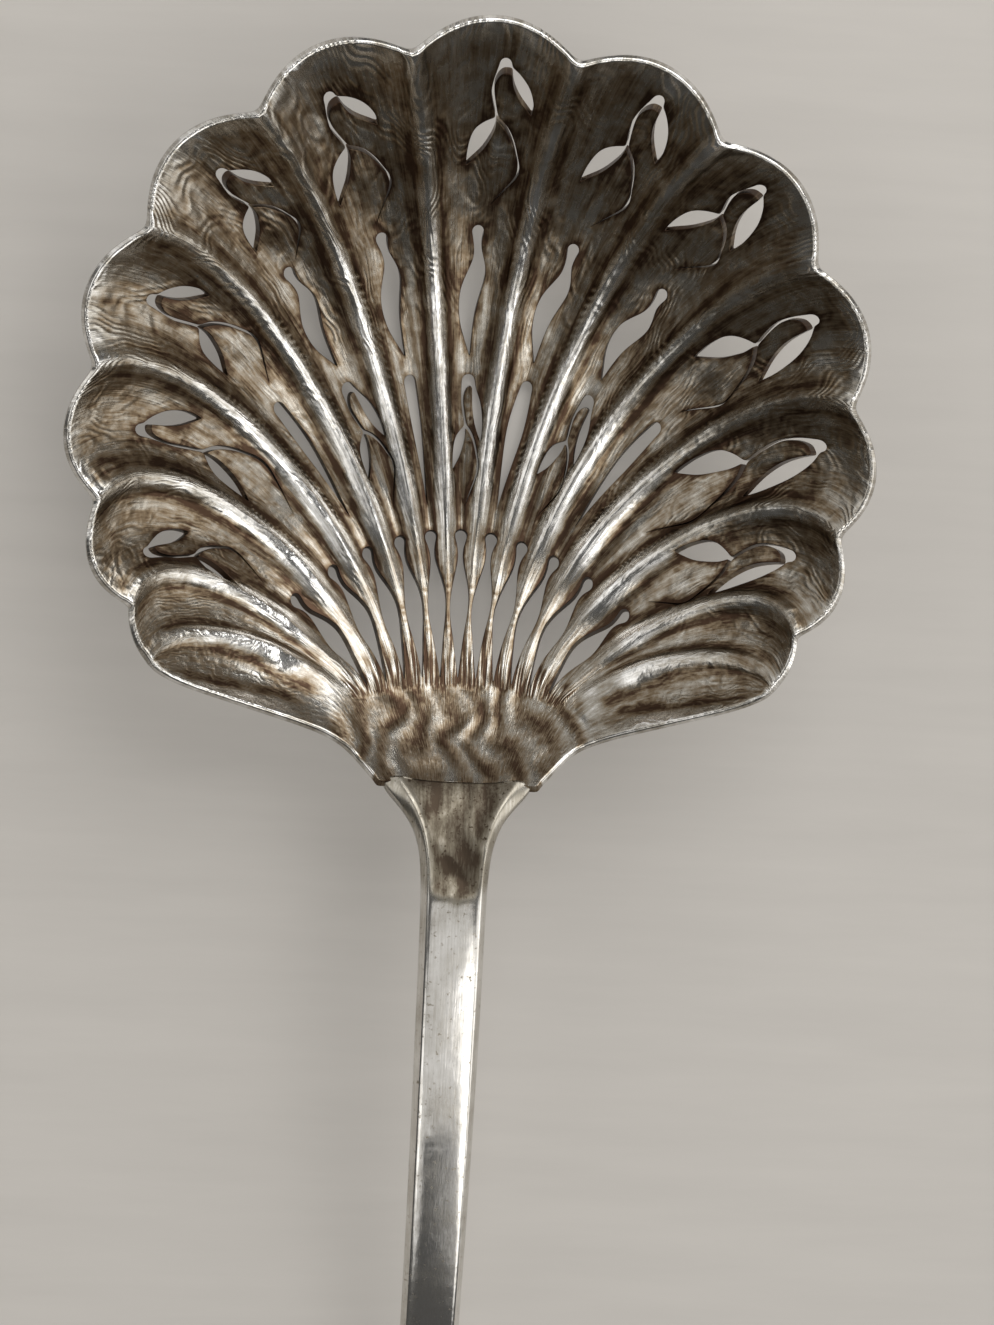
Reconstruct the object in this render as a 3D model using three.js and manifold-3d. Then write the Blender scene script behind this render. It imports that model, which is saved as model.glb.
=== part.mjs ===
// A silver sugar sifter spoon: a pierced and fluted shell bowl, soldered to a forged stem.
// Millimetres, +Z up, the tip of the bowl towards +Y, the spoon resting on the plane z = 0.
// While it is built, the lowest point of the plain bowl form is the origin.
import * as THREE from "three";
import { mergeVertices } from "three/addons/utils/BufferGeometryUtils.js";
import Module from "manifold-3d";

const wasm = await Module();
wasm.setup();

// Form of the bowl
const SHEET = 0.9; // thickness of the silver sheet
const RIM_RADIUS = 34.2; // circle through the cusps of the rim
const BOWL_DEPTH = 17; // height of the cusps over the lowest point of the form
const BOWL_POWER = 2.3; // 2 gives a paraboloid, more gives a flatter floor and a steeper wall
const REST_FLAT = 0.15; // how much the lowest flutes are rubbed flat where the bowl stands

// Fields of the bowl, counted from the middle flute: pierced flutes, an end flute and an ear on each side
const SIDE_FLUTES = 5; // pierced flutes on each side of the middle one
const RIM_PITCH = 25; // degrees of the rim that the middle flute takes
const PITCH_FALL = 0.11; // degrees lost per cube of the flute's number, so that the side flutes are narrower
const END_PITCH = 8; // degrees of the rim that the end flute takes
const EAR_PITCH = 0.6; // degrees of the rim that the ear takes
const FLUTE_DEPTH = 1.9; // depth of the middle flute at the rim
const END_DEPTH = 0.85; // depth of the end flute and of the ear
const END_JOIN = 0.8; // flutes from the last crest to full depth on the rim, where the two are one hollow
const JOIN_START = 0.5; // share of the flute's length from which they begin to join
const FLUTE_START = 0.03; // share of the flute's length at which its hollow begins, after the heel
const FLUTE_GROWTH = 0.85; // power by which the hollow deepens towards the rim
const LOBE_POWER = 2; // power of the curve across a flute

// Rows that the flutes run through: sideways step per flute, place on the axis, drop per square of its number
const SEAM_ROW = { step: 0.97, y: -31.6, drop: 0 }; // edge that is soldered to the stem
const HEEL_ROW = { step: 1.68, y: -23.2, drop: 0.038 }; // inner ends of the base slots
const FLOOR_ROW = { step: 2.05, y: -5.9, drop: 0.51 }; // first bend of the flutes
const WALL_ARC = { radius: 29, y: -3.8, pitch: 17.7 }; // second bend, on an arc in degrees per flute
const HEEL_BEND = 0.35; // share of the heel's length over which a flute turns
// Free edge of an ear up to the rim: heel end and two bends
const EAR_EDGE = [
  [11.5, -28],
  [15, -26.2],
  [23.5, -24.7],
];

// Piercings: lengths along the flute; distances to the round outer end from the rim or from the heel
const SAW_CUT = 0.2; // width of the slits of the scrolls
const RIM_HOLE = 0.55; // radius of the drilled end of a rim scroll
// The rim scrolls are sawn freehand, each a little unlike the next. From the left flute to the right one:
// shift of the hole and lean of the tail in flute widths, distance from the rim, length, share of the
// length that the upper leaf takes, and width as a share of the outline
const RIM_SCROLLS = [
  [-0.24, 0.06, 4.6, 10.9, 0.33, 0.95],
  [-0.06, 0.1, 6.1, 15.5, 0.27, 1.05],
  [0, 0.05, 5, 11.9, 0.26, 0.95],
  [0.04, 0.02, 4, 8.9, 0.29, 0.85],
  [-0.08, 0, 3.7, 10.6, 0.26, 0.95],
  [0.08, -0.04, 3.2, 10.9, 0.25, 0.85],
  [0.06, -0.05, 2.4, 10.9, 0.31, 0.85],
  [-0.08, -0.06, 2.5, 8.9, 0.5, 0.95],
  [-0.1, 0.08, 3.6, 13, 0.41, 1.1],
  [-0.1, 0.08, 4.3, 16.8, 0.38, 1.3],
  [-0.06, 0, 4.9, 13, 0.5, 1.4],
];
const FLAME_HOLE = 0.55;
const FLAME_FLUTES = [-2, -1, 0, 1, 2];
const FLAME_FROM_HEEL = 42.1;
const FLAME_FALL = 0.5; // nearer to the heel, and shorter, per square of the flute's number
const FLAME_LENGTH = 11.2;
const INNER_HOLE = 0.62;
const INNER_FROM_HEEL = 28.7;
const INNER_LENGTH = 12;
const INNER_LEAF = 0.46;
const INNER_SCROLL_FLUTES = [-2, 0, 2];
const INNER_SCROLL_WIDTH = 1.2;
const INNER_SLOT_HOLE = 0.55;
// Inner slots, sawn freehand: flute and width at the swell
const INNER_SLOTS = [
  [-3, 1.3],
  [-1, 1],
  [1, 1.8],
  [3, 1.5],
];
const BASE_HOLE = 0.6;
const BASE_FROM_HEEL = 13.9;
const BASE_FALL = 0.12; // nearer to the heel per square of the flute's number
const BASE_NARROWING = 0.016; // share of the slot's width lost per square of the flute's number
const BASE_END = 0.4; // distance of the slot's point from the heel

// Stem
const STEM_LENGTH = 130; // from the seam to the end, measured along the plan
const STEM_HALF = 3; // half width behind the neck
const WAIST_HALF = 2.75; // half width at the narrowest place
const END_HALF = 7.3; // half width of the end
const FLARE_LENGTH = 3; // length over which the neck widens towards the seam
const FLARE_POWER = 1.3;
const WAIST_SHARE = 0.46; // share of the stem's length at its narrowest place
const SPREAD_SHARE = 0.52; // share of the stem's length where it begins to widen towards the end
const END_ROUND = 13; // length of the rounded end
const NECK_THICKNESS = 3.3;
const END_THICKNESS = 1.9;
const NECK_RISE = 4; // height of the arch over the seam
const ARCH_AT = 19; // distance of the arch's top from the seam
const END_FLAT = 13; // length of the end that lies flat
const SCOOP_DEPTH = 0.75; // depth of the hollow in the neck under the lips beside it
const SCOOP_LENGTH = 10.2;
const SCOOP_END = 3.4; // length over which the hollow runs out into the flat of the stem
const SHOULDER = 0.36; // share of the thickness that the bevelled shoulders take
const WING = 0.45; // share of the thickness that the widened neck keeps at its sides
const NECK_BEND = 0.77; // share of the rise over which the neck runs straight on from the bowl
const STEM_BEND = 0.42; // share of the stem's run over which each end of its long bend is level
const TIP_SHARE = 0.07; // share of its width that a rounded end keeps at its very tip

// Drop under the heel and the solder that holds it
const FIT_GAP = 0.2; // clearance on each side of the solder
const SOLDER = 0.22; // thickness of the solder
const SOLDER_LIP = 0.35; // how far the solder shows beyond the drop
const DROP_REACH = 6.4; // length of the drop under the bowl
const DROP_OVERLAP = 1; // length of its root inside the neck
const DROP_THICKNESS = 1.8;
const DROP_SHARE = 0.86; // width of the drop at the seam, as a share of the neck
const DROP_TAPER = 0.8; // width of its lower face, as a share of the upper

// Fineness of the meshes
const COLUMNS_PER_FLUTE = 5;
const HEEL_ROWS = 3;
const FLUTE_ROWS = 10;
const BEND_STEPS = 2; // between two points of an outline
const HOLE_STEPS = 6;
const TONGUE_STEPS = 8; // along and across the drop and the solder
const STEM_STATIONS = 46;
const STATION_CROWDING = 0.6; // 0 spaces them evenly, 1 crowds them towards both ends

const FLUTE_EDGE = SIDE_FLUTES + 0.5; // crest between the last pierced flute and the end flute
const EAR_CREST = FLUTE_EDGE + 1;
const BOWL_EDGE = EAR_CREST + 1;
const SEAM_HALF = SEAM_ROW.step * BOWL_EDGE;

const radians = THREE.MathUtils.degToRad;
const { lerp, smoothstep } = THREE.MathUtils;

// Height of the plain bowl form at a distance from its axis.
function formHeight(reach) {
  return BOWL_DEPTH * (reach / RIM_RADIUS) ** BOWL_POWER;
}

// Slope of the plain bowl form at a distance from its axis.
function formSlope(reach) {
  return ((BOWL_POWER * BOWL_DEPTH) / RIM_RADIUS) * (reach / RIM_RADIUS) ** (BOWL_POWER - 1);
}

// Angle on the rim, in radians from the tip, of a place counted in flutes.
function rimAngle(flute) {
  const inside = Math.min(flute, FLUTE_EDGE);
  const beyond = Math.max(flute - EAR_CREST, 0);
  const degrees = RIM_PITCH * inside - PITCH_FALL * inside ** 3;
  return radians(degrees + END_PITCH * (flute - inside - beyond) + EAR_PITCH * beyond);
}

// Depth at the rim of the field that a place lies in, 0 on the crests between the fields. Towards the rim
// the end flute and the ear become one hollow.
function fieldDepth(flute, share) {
  const place = Math.abs(flute);
  const field = Math.min(Math.round(place), SIDE_FLUTES + 2);
  const lobe = 1 - Math.abs(2 * (place - field)) ** LOBE_POWER;
  const narrowing = 1 - (3 * PITCH_FALL * field ** 2) / RIM_PITCH;
  const joined = 1 - (1 - Math.min(Math.max(place - FLUTE_EDGE, 0) / END_JOIN, 1)) ** LOBE_POWER;
  const ending = lerp(lobe, joined, smoothstep(share, JOIN_START, 1));
  return field > SIDE_FLUTES ? END_DEPTH * ending : FLUTE_DEPTH * narrowing * lobe;
}

// Point of a row at a place counted in flutes; beyond the pierced flutes the row runs on level.
function rowPoint(row, flute) {
  return new THREE.Vector2(row.step * flute, row.y - row.drop * Math.min(flute, FLUTE_EDGE) ** 2);
}

// End of a flute's line on the rim, set out so that the hollowed rim stays level.
function rimPoint(flute) {
  const slope = formSlope(RIM_RADIUS);
  const reach = RIM_RADIUS + fieldDepth(flute, 1) / (slope * Math.hypot(1, slope));
  const angle = rimAngle(flute);
  return new THREE.Vector2(reach * Math.sin(angle), reach * Math.cos(angle));
}

// Points that steer a flute's line from the heel to the rim, on the right half of the bowl.
function steeringPoints(flute) {
  const inside = Math.min(flute, EAR_CREST);
  const turn = radians(WALL_ARC.pitch * inside);
  const points = [
    rowPoint(HEEL_ROW, inside),
    rowPoint(FLOOR_ROW, inside),
    new THREE.Vector2(WALL_ARC.radius * Math.sin(turn), WALL_ARC.y + WALL_ARC.radius * Math.cos(turn)),
  ];
  points.forEach((point, i) => point.lerp(new THREE.Vector2(...EAR_EDGE[i]), flute - inside));
  return [...points, rimPoint(flute)];
}

// The line of a flute in plan: a short bend over the heel and a long bend from the heel to the rim.
const lines = new Map();
function fluteLine(flute) {
  if (!lines.has(flute)) {
    const side = Math.sign(flute) || 1;
    const [heel, floor, wall, rim] = steeringPoints(Math.abs(flute));
    const seam = rowPoint(SEAM_ROW, Math.abs(flute));
    const rise = heel.clone().sub(seam).multiplyScalar(HEEL_BEND);
    const turn = heel.clone().sub(floor).setLength(rise.length());
    rise.x *= Math.abs(flute) / BOWL_EDGE;
    const bends = [seam, seam.clone().add(rise), heel.clone().add(turn), heel, floor, wall, rim];
    bends.forEach((point) => (point.x *= side));
    lines.set(flute, {
      heel: new THREE.CubicBezierCurve(...bends.slice(0, 4)),
      bowl: new THREE.CubicBezierCurve(...bends.slice(3)),
    });
  }
  return lines.get(flute);
}

// A point of the bowl: share runs from -1 at the seam over 0 at the heel to 1 at the rim, and offset is
// the distance from the middle of the sheet towards the inside.
function bowlPoint(flute, share, offset) {
  const line = fluteLine(flute);
  const plan = share < 0 ? line.heel.getPointAt(share + 1) : line.bowl.getPointAt(Math.min(share, 1));
  const reach = Math.max(plan.length(), Number.EPSILON);
  const slope = formSlope(reach);
  const grown = Math.max((share - FLUTE_START) / (1 - FLUTE_START), 0) ** FLUTE_GROWTH;
  const push = (offset - fieldDepth(flute, share) * grown) / Math.hypot(1, slope);
  plan.multiplyScalar(1 - (push * slope) / reach);
  return new THREE.Vector3(plan.x, plan.y, formHeight(reach) + push);
}

// A closed solid from vertices and triangles.
function solidOf(positions, triangles) {
  const vertProperties = new Float32Array(positions);
  const triVerts = new Uint32Array(triangles);
  return new wasm.Manifold(new wasm.Mesh({ numProp: 3, vertProperties, triVerts }));
}

// A closed solid between two faces that share a grid, where pointAt(column, row, face) has face 0 below
// and face 1 above.
function sheetSolid(columns, rows, pointAt) {
  const positions = [];
  const triangles = [];
  const index = (column, row, face) => (row * (columns + 1) + column) * 2 + face;
  const quad = (a, b, c, d) => triangles.push(a, b, c, a, c, d);
  for (let row = 0; row <= rows; row++) {
    for (let column = 0; column <= columns; column++) {
      positions.push(...pointAt(column, row, 0), ...pointAt(column, row, 1));
    }
  }
  for (let row = 0; row < rows; row++) {
    for (let column = 0; column < columns; column++) {
      const corners = [
        [column, row],
        [column + 1, row],
        [column + 1, row + 1],
        [column, row + 1],
      ];
      quad(...corners.map((corner) => index(...corner, 1)));
      quad(...corners.reverse().map((corner) => index(...corner, 0)));
    }
  }
  const wall = (a, b) => quad(index(...a, 0), index(...b, 0), index(...b, 1), index(...a, 1));
  for (let column = 0; column < columns; column++) {
    wall([column, 0], [column + 1, 0]);
    wall([column + 1, rows], [column, rows]);
  }
  for (let row = 0; row < rows; row++) {
    wall([columns, row], [columns, row + 1]);
    wall([0, row + 1], [0, row]);
  }
  return solidOf(positions, triangles);
}

// Points on smooth curves through the given edges, each edge starting where the one before it ended.
function smoothOutline(edges) {
  return edges.flatMap((edge) => {
    const points = edge.map(([across, along]) => new THREE.Vector2(across, along));
    return new THREE.SplineCurve(points).getPoints(BEND_STEPS * (points.length - 1)).slice(0, -1);
  });
}

// The round end of a piercing, from its left side over the top to its right side.
function roundEnd(halfWidth, radius) {
  return Array.from({ length: HOLE_STEPS + 1 }, (_, i) => {
    const angle = Math.PI * (1 - i / HOLE_STEPS);
    return new THREE.Vector2(halfWidth * Math.cos(angle), radius * Math.sin(angle));
  });
}

// Outlines of the piercings: across in widths of the flute, along in millimetres from the round outer end.
// A scroll is a hole that opens into two leaves and a long slit, with a tongue and a petal left between them.
function scrollOutline(length, width, leaf, lean, fluteSpan, hole) {
  const at = (across, along) => [across * width - lean * along, along * length];
  const halfHole = hole / fluteSpan;
  const slit = SAW_CUT / fluteSpan / width;
  const [leafTip, tongueTip, waist, tailEnd, lowerTip] = [
    at(0.28, -leaf),
    at(0.06, -0.04),
    at(0.005, -0.345),
    at(0.06, -1),
    at(-0.24, -0.7),
  ];
  const [slitEnd, neckEnd] = [at(0.005 - slit / 2, -0.37), at(0.005 - slit, -0.355)];
  return [
    ...roundEnd(halfHole, hole),
    ...smoothOutline([
      [[halfHole, 0], at(0.13, -0.14 * leaf), at(0.22, -0.38 * leaf), at(0.275, -0.7 * leaf), leafTip],
      [leafTip, at(0.165, -0.78 * leaf), at(0.09, -0.48 * leaf), tongueTip],
      [tongueTip, at(-0.02, -0.06), at(-0.06, -0.16), waist],
      [waist, at(0.13, -0.42), at(0.235, -0.55), at(0.285, -0.71), tailEnd],
      [tailEnd, at(0.285 - slit, -0.71), at(0.235 - slit, -0.56), at(0.13 - slit, -0.44), slitEnd],
      [slitEnd, at(-0.01, -0.46), at(-0.095, -0.6), lowerTip],
      [lowerTip, at(-0.23, -0.56), at(-0.175, -0.44), neckEnd],
      [neckEnd, at(-0.06 - slit, -0.18), [-halfHole, 0]],
    ]),
  ];
}

// A flame is a hole that runs out into a waved tail.
function flameOutline(length, halfHole, hole) {
  const at = (across, along) => [across, along * length];
  return [
    ...roundEnd(halfHole, hole),
    ...smoothOutline([
      [[halfHole, 0], at(0.05, -0.12), at(0.12, -0.33), at(0.03, -0.66), at(0, -1)],
      [at(0, -1), at(-0.16, -0.72), at(-0.17, -0.46), at(-0.03, -0.2), [-halfHole, 0]],
    ]),
  ];
}

// A base slot is a hole that opens into a long leaf as wide as the bars beside it allow.
function baseOutline(length, width, halfHole, hole) {
  const at = (across, along) => [across * width, along * length];
  return [
    ...roundEnd(halfHole, hole),
    ...smoothOutline([
      [[halfHole, 0], at(0.1, -0.15), at(0.42, -0.44), at(0.22, -0.74), at(0, -1)],
      [at(0, -1), at(-0.24, -0.76), at(-0.42, -0.5), at(-0.09, -0.17), [-halfHole, 0]],
    ]),
  ];
}

// A slot is round outside, keeps its width or swells, and runs out to a point.
function slotOutline(length, halfWidth, halfHole, hole) {
  const at = (across, along) => [across, along * length];
  return [
    ...roundEnd(halfHole, hole),
    ...smoothOutline([
      [[halfHole, 0], at(halfWidth, -0.4), at(0, -1)],
      [at(0, -1), at(-halfWidth, -0.4), [-halfHole, 0]],
    ]),
  ];
}

// Width of a flute at a share of its length, in plan.
function fluteWidth(flute, share) {
  const step = 0.25;
  const before = fluteLine(flute - step).bowl.getPointAt(share);
  return before.distanceTo(fluteLine(flute + step).bowl.getPointAt(share)) / (2 * step);
}

// An upright cutter with the outline laid along a flute, its round end at a distance from the heel.
function cutter(flute, fromHeel, outlineFor) {
  const length = fluteLine(flute).bowl.getLength();
  const outline = outlineFor(fluteWidth(flute, fromHeel / length));
  const plan = outline.map(({ x, y }) => {
    const { x: px, y: py } = bowlPoint(flute + x, (fromHeel + y) / length, 0);
    return new THREE.Vector2(px, py);
  });
  const depth = 2 * BOWL_DEPTH;
  const prism = new THREE.ExtrudeGeometry(new THREE.Shape(plan), { depth, bevelEnabled: false });
  prism.translate(0, 0, -depth / 4);
  prism.deleteAttribute("normal").deleteAttribute("uv");
  const merged = mergeVertices(prism);
  return solidOf(merged.attributes.position.array, merged.index.array);
}

// Cutters of the eleven scrolls along the rim.
function rimScrolls() {
  return allFlutes().map((flute, i) => {
    const [shift, lean, inset, length, leaf, width] = RIM_SCROLLS[i];
    const place = flute + shift;
    const fromHeel = fluteLine(place).bowl.getLength() - inset;
    return cutter(place, fromHeel, (span) => scrollOutline(length, width, leaf, lean, span, RIM_HOLE));
  });
}

// Cutters of the eleven slots round the heel.
function baseSlots() {
  return allFlutes().map((flute) => {
    const fromHeel = BASE_FROM_HEEL - BASE_FALL * flute ** 2;
    const length = fromHeel - BASE_END;
    const width = 1 - BASE_NARROWING * flute ** 2;
    return cutter(flute, fromHeel, (span) => baseOutline(length, width, BASE_HOLE / span, BASE_HOLE));
  });
}

// Cutters of the waved flames and of the scrolls and slots between them and the base slots.
function innerPiercings() {
  const flames = FLAME_FLUTES.map((flute) => {
    const fall = FLAME_FALL * flute ** 2;
    return cutter(flute, FLAME_FROM_HEEL - fall, (span) =>
      flameOutline(FLAME_LENGTH - fall, FLAME_HOLE / span, FLAME_HOLE),
    );
  });
  const scrolls = INNER_SCROLL_FLUTES.map((flute) =>
    cutter(flute, INNER_FROM_HEEL, (span) =>
      scrollOutline(INNER_LENGTH, INNER_SCROLL_WIDTH, INNER_LEAF, 0, span, INNER_HOLE),
    ),
  );
  const slots = INNER_SLOTS.map(([flute, width]) =>
    cutter(flute, INNER_FROM_HEEL, (span) =>
      slotOutline(INNER_LENGTH, width / 2 / span, INNER_SLOT_HOLE / span, INNER_SLOT_HOLE),
    ),
  );
  return [...flames, ...scrolls, ...slots];
}

// Numbers of all pierced flutes, from left to right.
function allFlutes() {
  return Array.from({ length: 2 * SIDE_FLUTES + 1 }, (_, i) => i - SIDE_FLUTES);
}

// Columns and rows of the bowl's grid as places on the bowl.
const BOWL_COLUMNS = 2 * BOWL_EDGE * COLUMNS_PER_FLUTE;
const BOWL_ROWS = HEEL_ROWS + FLUTE_ROWS;
function gridPoint(column, row, offset) {
  const flute = column / COLUMNS_PER_FLUTE - BOWL_EDGE;
  const share = row < HEEL_ROWS ? row / HEEL_ROWS - 1 : (row - HEEL_ROWS) / FLUTE_ROWS;
  return bowlPoint(flute, share, offset);
}

// Height of the plane that the spoon rests on.
function restLevel() {
  let lowest = Infinity;
  for (let row = 0; row <= BOWL_ROWS; row++) {
    for (let column = 0; column <= BOWL_COLUMNS; column++) {
      lowest = Math.min(lowest, gridPoint(column, row, -SHEET / 2).z);
    }
  }
  return lowest + REST_FLAT;
}
const REST = restLevel();

// The bowl: the fluted sheet, rubbed flat where it stands, less all its piercings.
function buildBowl() {
  const blank = sheetSolid(BOWL_COLUMNS, BOWL_ROWS, (column, row, face) => {
    const point = gridPoint(column, row, (face - 0.5) * SHEET);
    point.z = Math.max(point.z, REST);
    return point;
  });
  const cutters = [...rimScrolls(), ...innerPiercings(), ...baseSlots()];
  return cutters.reduce((bowl, tool) => bowl.subtract(tool), blank);
}

// Height of the heel's form at a place in plan, a distance below the middle of the sheet.
function heelHeight(x, y, below) {
  const reach = Math.hypot(x, y);
  return formHeight(reach) - below * Math.hypot(1, formSlope(reach));
}

// Share of its width that a rounded end has at a share of its length.
function roundShare(share) {
  return Math.sqrt(Math.max(1 - share ** 2, TIP_SHARE ** 2));
}

// Half width of the stem at a distance from the seam.
function stemHalfWidth(distance) {
  const flare = (SEAM_HALF - STEM_HALF) * Math.exp(-((distance / FLARE_LENGTH) ** FLARE_POWER));
  const roundStart = STEM_LENGTH - END_ROUND;
  const taper = lerp(STEM_HALF, WAIST_HALF, smoothstep(distance, 0, WAIST_SHARE * STEM_LENGTH));
  const spread = (END_HALF - WAIST_HALF) * smoothstep(distance, SPREAD_SHARE * STEM_LENGTH, roundStart);
  const past = Math.max(distance - roundStart, 0) / END_ROUND;
  return (flare + taper + spread) * roundShare(past);
}

// The line of the stem's upper face in side view, from the seam over the arch to the flat end, as deep
// under the face as the hollow of the neck.
function stemLine() {
  const start = bowlPoint(0, -1, SHEET / 2);
  const slope = formSlope(-start.y);
  const along = new THREE.Vector2(-1, slope).setLength(FIT_GAP);
  const seam = new THREE.Vector2(start.y + along.x, start.z + along.y);
  const top = new THREE.Vector2(seam.x - ARCH_AT, seam.y + NECK_RISE);
  const flat = new THREE.Vector2(seam.x - STEM_LENGTH + END_FLAT, REST + END_THICKNESS - SCOOP_DEPTH);
  const end = new THREE.Vector2(seam.x - STEM_LENGTH, flat.y);
  const reach = STEM_BEND * (flat.x - top.x);
  const path = new THREE.CurvePath();
  const rise = new THREE.Vector2(-1 / slope, 1).multiplyScalar(NECK_BEND * NECK_RISE).add(seam);
  path.add(new THREE.CubicBezierCurve(seam, rise, new THREE.Vector2(top.x + ARCH_AT / 2, top.y), top));
  const leave = new THREE.Vector2(top.x + reach, top.y);
  path.add(new THREE.CubicBezierCurve(top, leave, new THREE.Vector2(flat.x - reach, flat.y), flat));
  path.add(new THREE.LineCurve(flat, end));
  return path;
}

// One cross-section of the stem: across, and height over the line's point.
function stemSection(halfWidth, thickness, lip) {
  const widened = Math.max(halfWidth - STEM_HALF, 0) / (SEAM_HALF - STEM_HALF);
  const side = thickness * (halfWidth > STEM_HALF && lip > 0 ? lerp(1, WING, widened) : 1);
  const half = [
    [0, 0],
    [0.42, 0.18 * lip],
    [0.8, lip - 0.05 * side],
    [1, lip - SHOULDER * side],
    [0.94, -0.8 * side],
    [0.7, -lerp(thickness, side, 0.5)],
    [0, -thickness],
  ];
  const left = half.slice(1, -1).reverse();
  const ring = [...half, ...left.map(([across, height]) => [-across, height])];
  return ring.map(([across, height]) => [across * halfWidth, height]);
}

// A closed solid through rings of points, with a flat cap at each end.
function loftSolid(rings) {
  const count = rings[0].length;
  const positions = rings.flat(2);
  const triangles = [];
  const last = (rings.length - 1) * count;
  for (let ring = 0; ring < last; ring += count) {
    for (let i = 0; i < count; i++) {
      const next = (i + 1) % count;
      const ahead = ring + count;
      triangles.push(ring + i, ahead + next, ring + next, ring + i, ahead + i, ahead + next);
    }
  }
  for (let i = 1; i < count - 1; i++) {
    triangles.push(0, i, i + 1, last, last + i + 1, last + i);
  }
  return solidOf(positions, triangles);
}

// Neck, stem and end as one loft along the stem's line.
function stemBar() {
  const line = stemLine();
  const start = line.getPoint(0).x;
  const rings = Array.from({ length: STEM_STATIONS + 1 }, (_, i) => {
    const share = i / STEM_STATIONS;
    const place = lerp(share, smoothstep(share, 0, 1), STATION_CROWDING);
    const point = line.getPoint(place);
    const tangent = line.getTangent(place);
    const distance = start - point.x;
    const thickness = lerp(NECK_THICKNESS, END_THICKNESS, smoothstep(distance, 0, STEM_LENGTH - END_FLAT));
    const filled = SCOOP_DEPTH * smoothstep(distance, SCOOP_LENGTH - SCOOP_END, SCOOP_LENGTH);
    const section = stemSection(stemHalfWidth(distance), thickness, SCOOP_DEPTH - filled);
    return section.map(([x, height]) => [
      x,
      point.x + (height + filled) * tangent.y,
      point.y - (height + filled) * tangent.x,
    ]);
  });
  return loftSolid(rings);
}

// A tongue under the heel that follows the underside of the bowl between two depths.
function heelTongue(reach, back, halfWidth, taper, upper, lower) {
  const root = SEAM_ROW.y - back;
  return sheetSolid(TONGUE_STEPS, TONGUE_STEPS, (column, row, face) => {
    const share = Math.sin(((row / TONGUE_STEPS) * Math.PI) / 2);
    const y = lerp(root, SEAM_ROW.y + reach, share);
    const round = roundShare(Math.max((y - SEAM_ROW.y) / reach, 0));
    const narrow = face ? 1 : taper;
    const x = ((2 * column) / TONGUE_STEPS - 1) * halfWidth * round * narrow;
    return [x, y, heelHeight(x, y, face ? upper : lerp(upper, lower, round))];
  });
}

const SOLDER_TOP = SHEET / 2 + FIT_GAP;
const DROP_TOP = SOLDER_TOP + SOLDER + FIT_GAP;
const DROP_HALF = SEAM_HALF * DROP_SHARE;

// The room that the heel of the bowl takes, with its clearance, and everything above it.
function heelRoom() {
  const room = sheetSolid(BOWL_COLUMNS, HEEL_ROWS, (column, row, face) => {
    const point = gridPoint(column, row, face ? 2 * SHEET : -SHEET / 2 - FIT_GAP);
    point.x *= 1 + FIT_GAP / SEAM_HALF;
    return point;
  });
  return room.translate(0, -FIT_GAP, 0);
}

// The stem: the forged bar, cut back for the heel, and the drop that runs on under the bowl.
function buildStem() {
  const bottom = DROP_TOP + DROP_THICKNESS;
  const drop = heelTongue(DROP_REACH, DROP_OVERLAP, DROP_HALF, DROP_TAPER, DROP_TOP, bottom);
  return stemBar().subtract(heelRoom()).add(drop);
}

// The film of solder between the bowl and the drop, showing a little round the drop.
function buildSolder() {
  const reach = DROP_REACH + SOLDER_LIP;
  return heelTongue(reach, 0, DROP_HALF + SOLDER_LIP, 1, SOLDER_TOP, SOLDER_TOP + SOLDER);
}

// A named mesh from a solid.
function meshOf(name, solid, material) {
  const made = solid.getMesh();
  const geometry = new THREE.BufferGeometry();
  geometry.setAttribute("position", new THREE.BufferAttribute(made.vertProperties, 3));
  geometry.setIndex(new THREE.BufferAttribute(made.triVerts, 1));
  geometry.computeVertexNormals();
  const mesh = new THREE.Mesh(geometry, new THREE.MeshStandardMaterial(material));
  mesh.name = name;
  return mesh;
}

const spoon = new THREE.Group();
spoon.name = "sugar_sifter_spoon";
spoon.add(
  meshOf("pierced_bowl", buildBowl(), { color: 0x8d8272, roughness: 0.34, metalness: 1 }),
  meshOf("stem", buildStem(), { color: 0xc4bdb1, roughness: 0.27, metalness: 1 }),
  meshOf("solder_seam", buildSolder(), { color: 0xa39b8c, roughness: 0.48, metalness: 1 }),
);

// The origin is put under the middle of the spoon's length.
const extent = new THREE.Box3().setFromObject(spoon);
spoon.position.set(0, -(extent.min.y + extent.max.y) / 2, -REST);

export default spoon;
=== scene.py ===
"""Silver sugar sifter spoon: a pierced and fluted shell bowl on a slim forged stem.

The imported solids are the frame. The bowl and the stem are replaced by finer surfaces that follow the
same formulas, with rounded ribs, eased saw cuts and a hollowed neck; the solder keeps its solid. Forms are
worked out in millimetres about the axis of the bowl and put into the shared frame in metres.
"""
import logging
from dataclasses import dataclass, field, replace
from enum import Enum

import bpy
import numpy as np
from mathutils import Matrix, Vector
from mathutils.geometry import delaunay_2d_cdt


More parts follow.
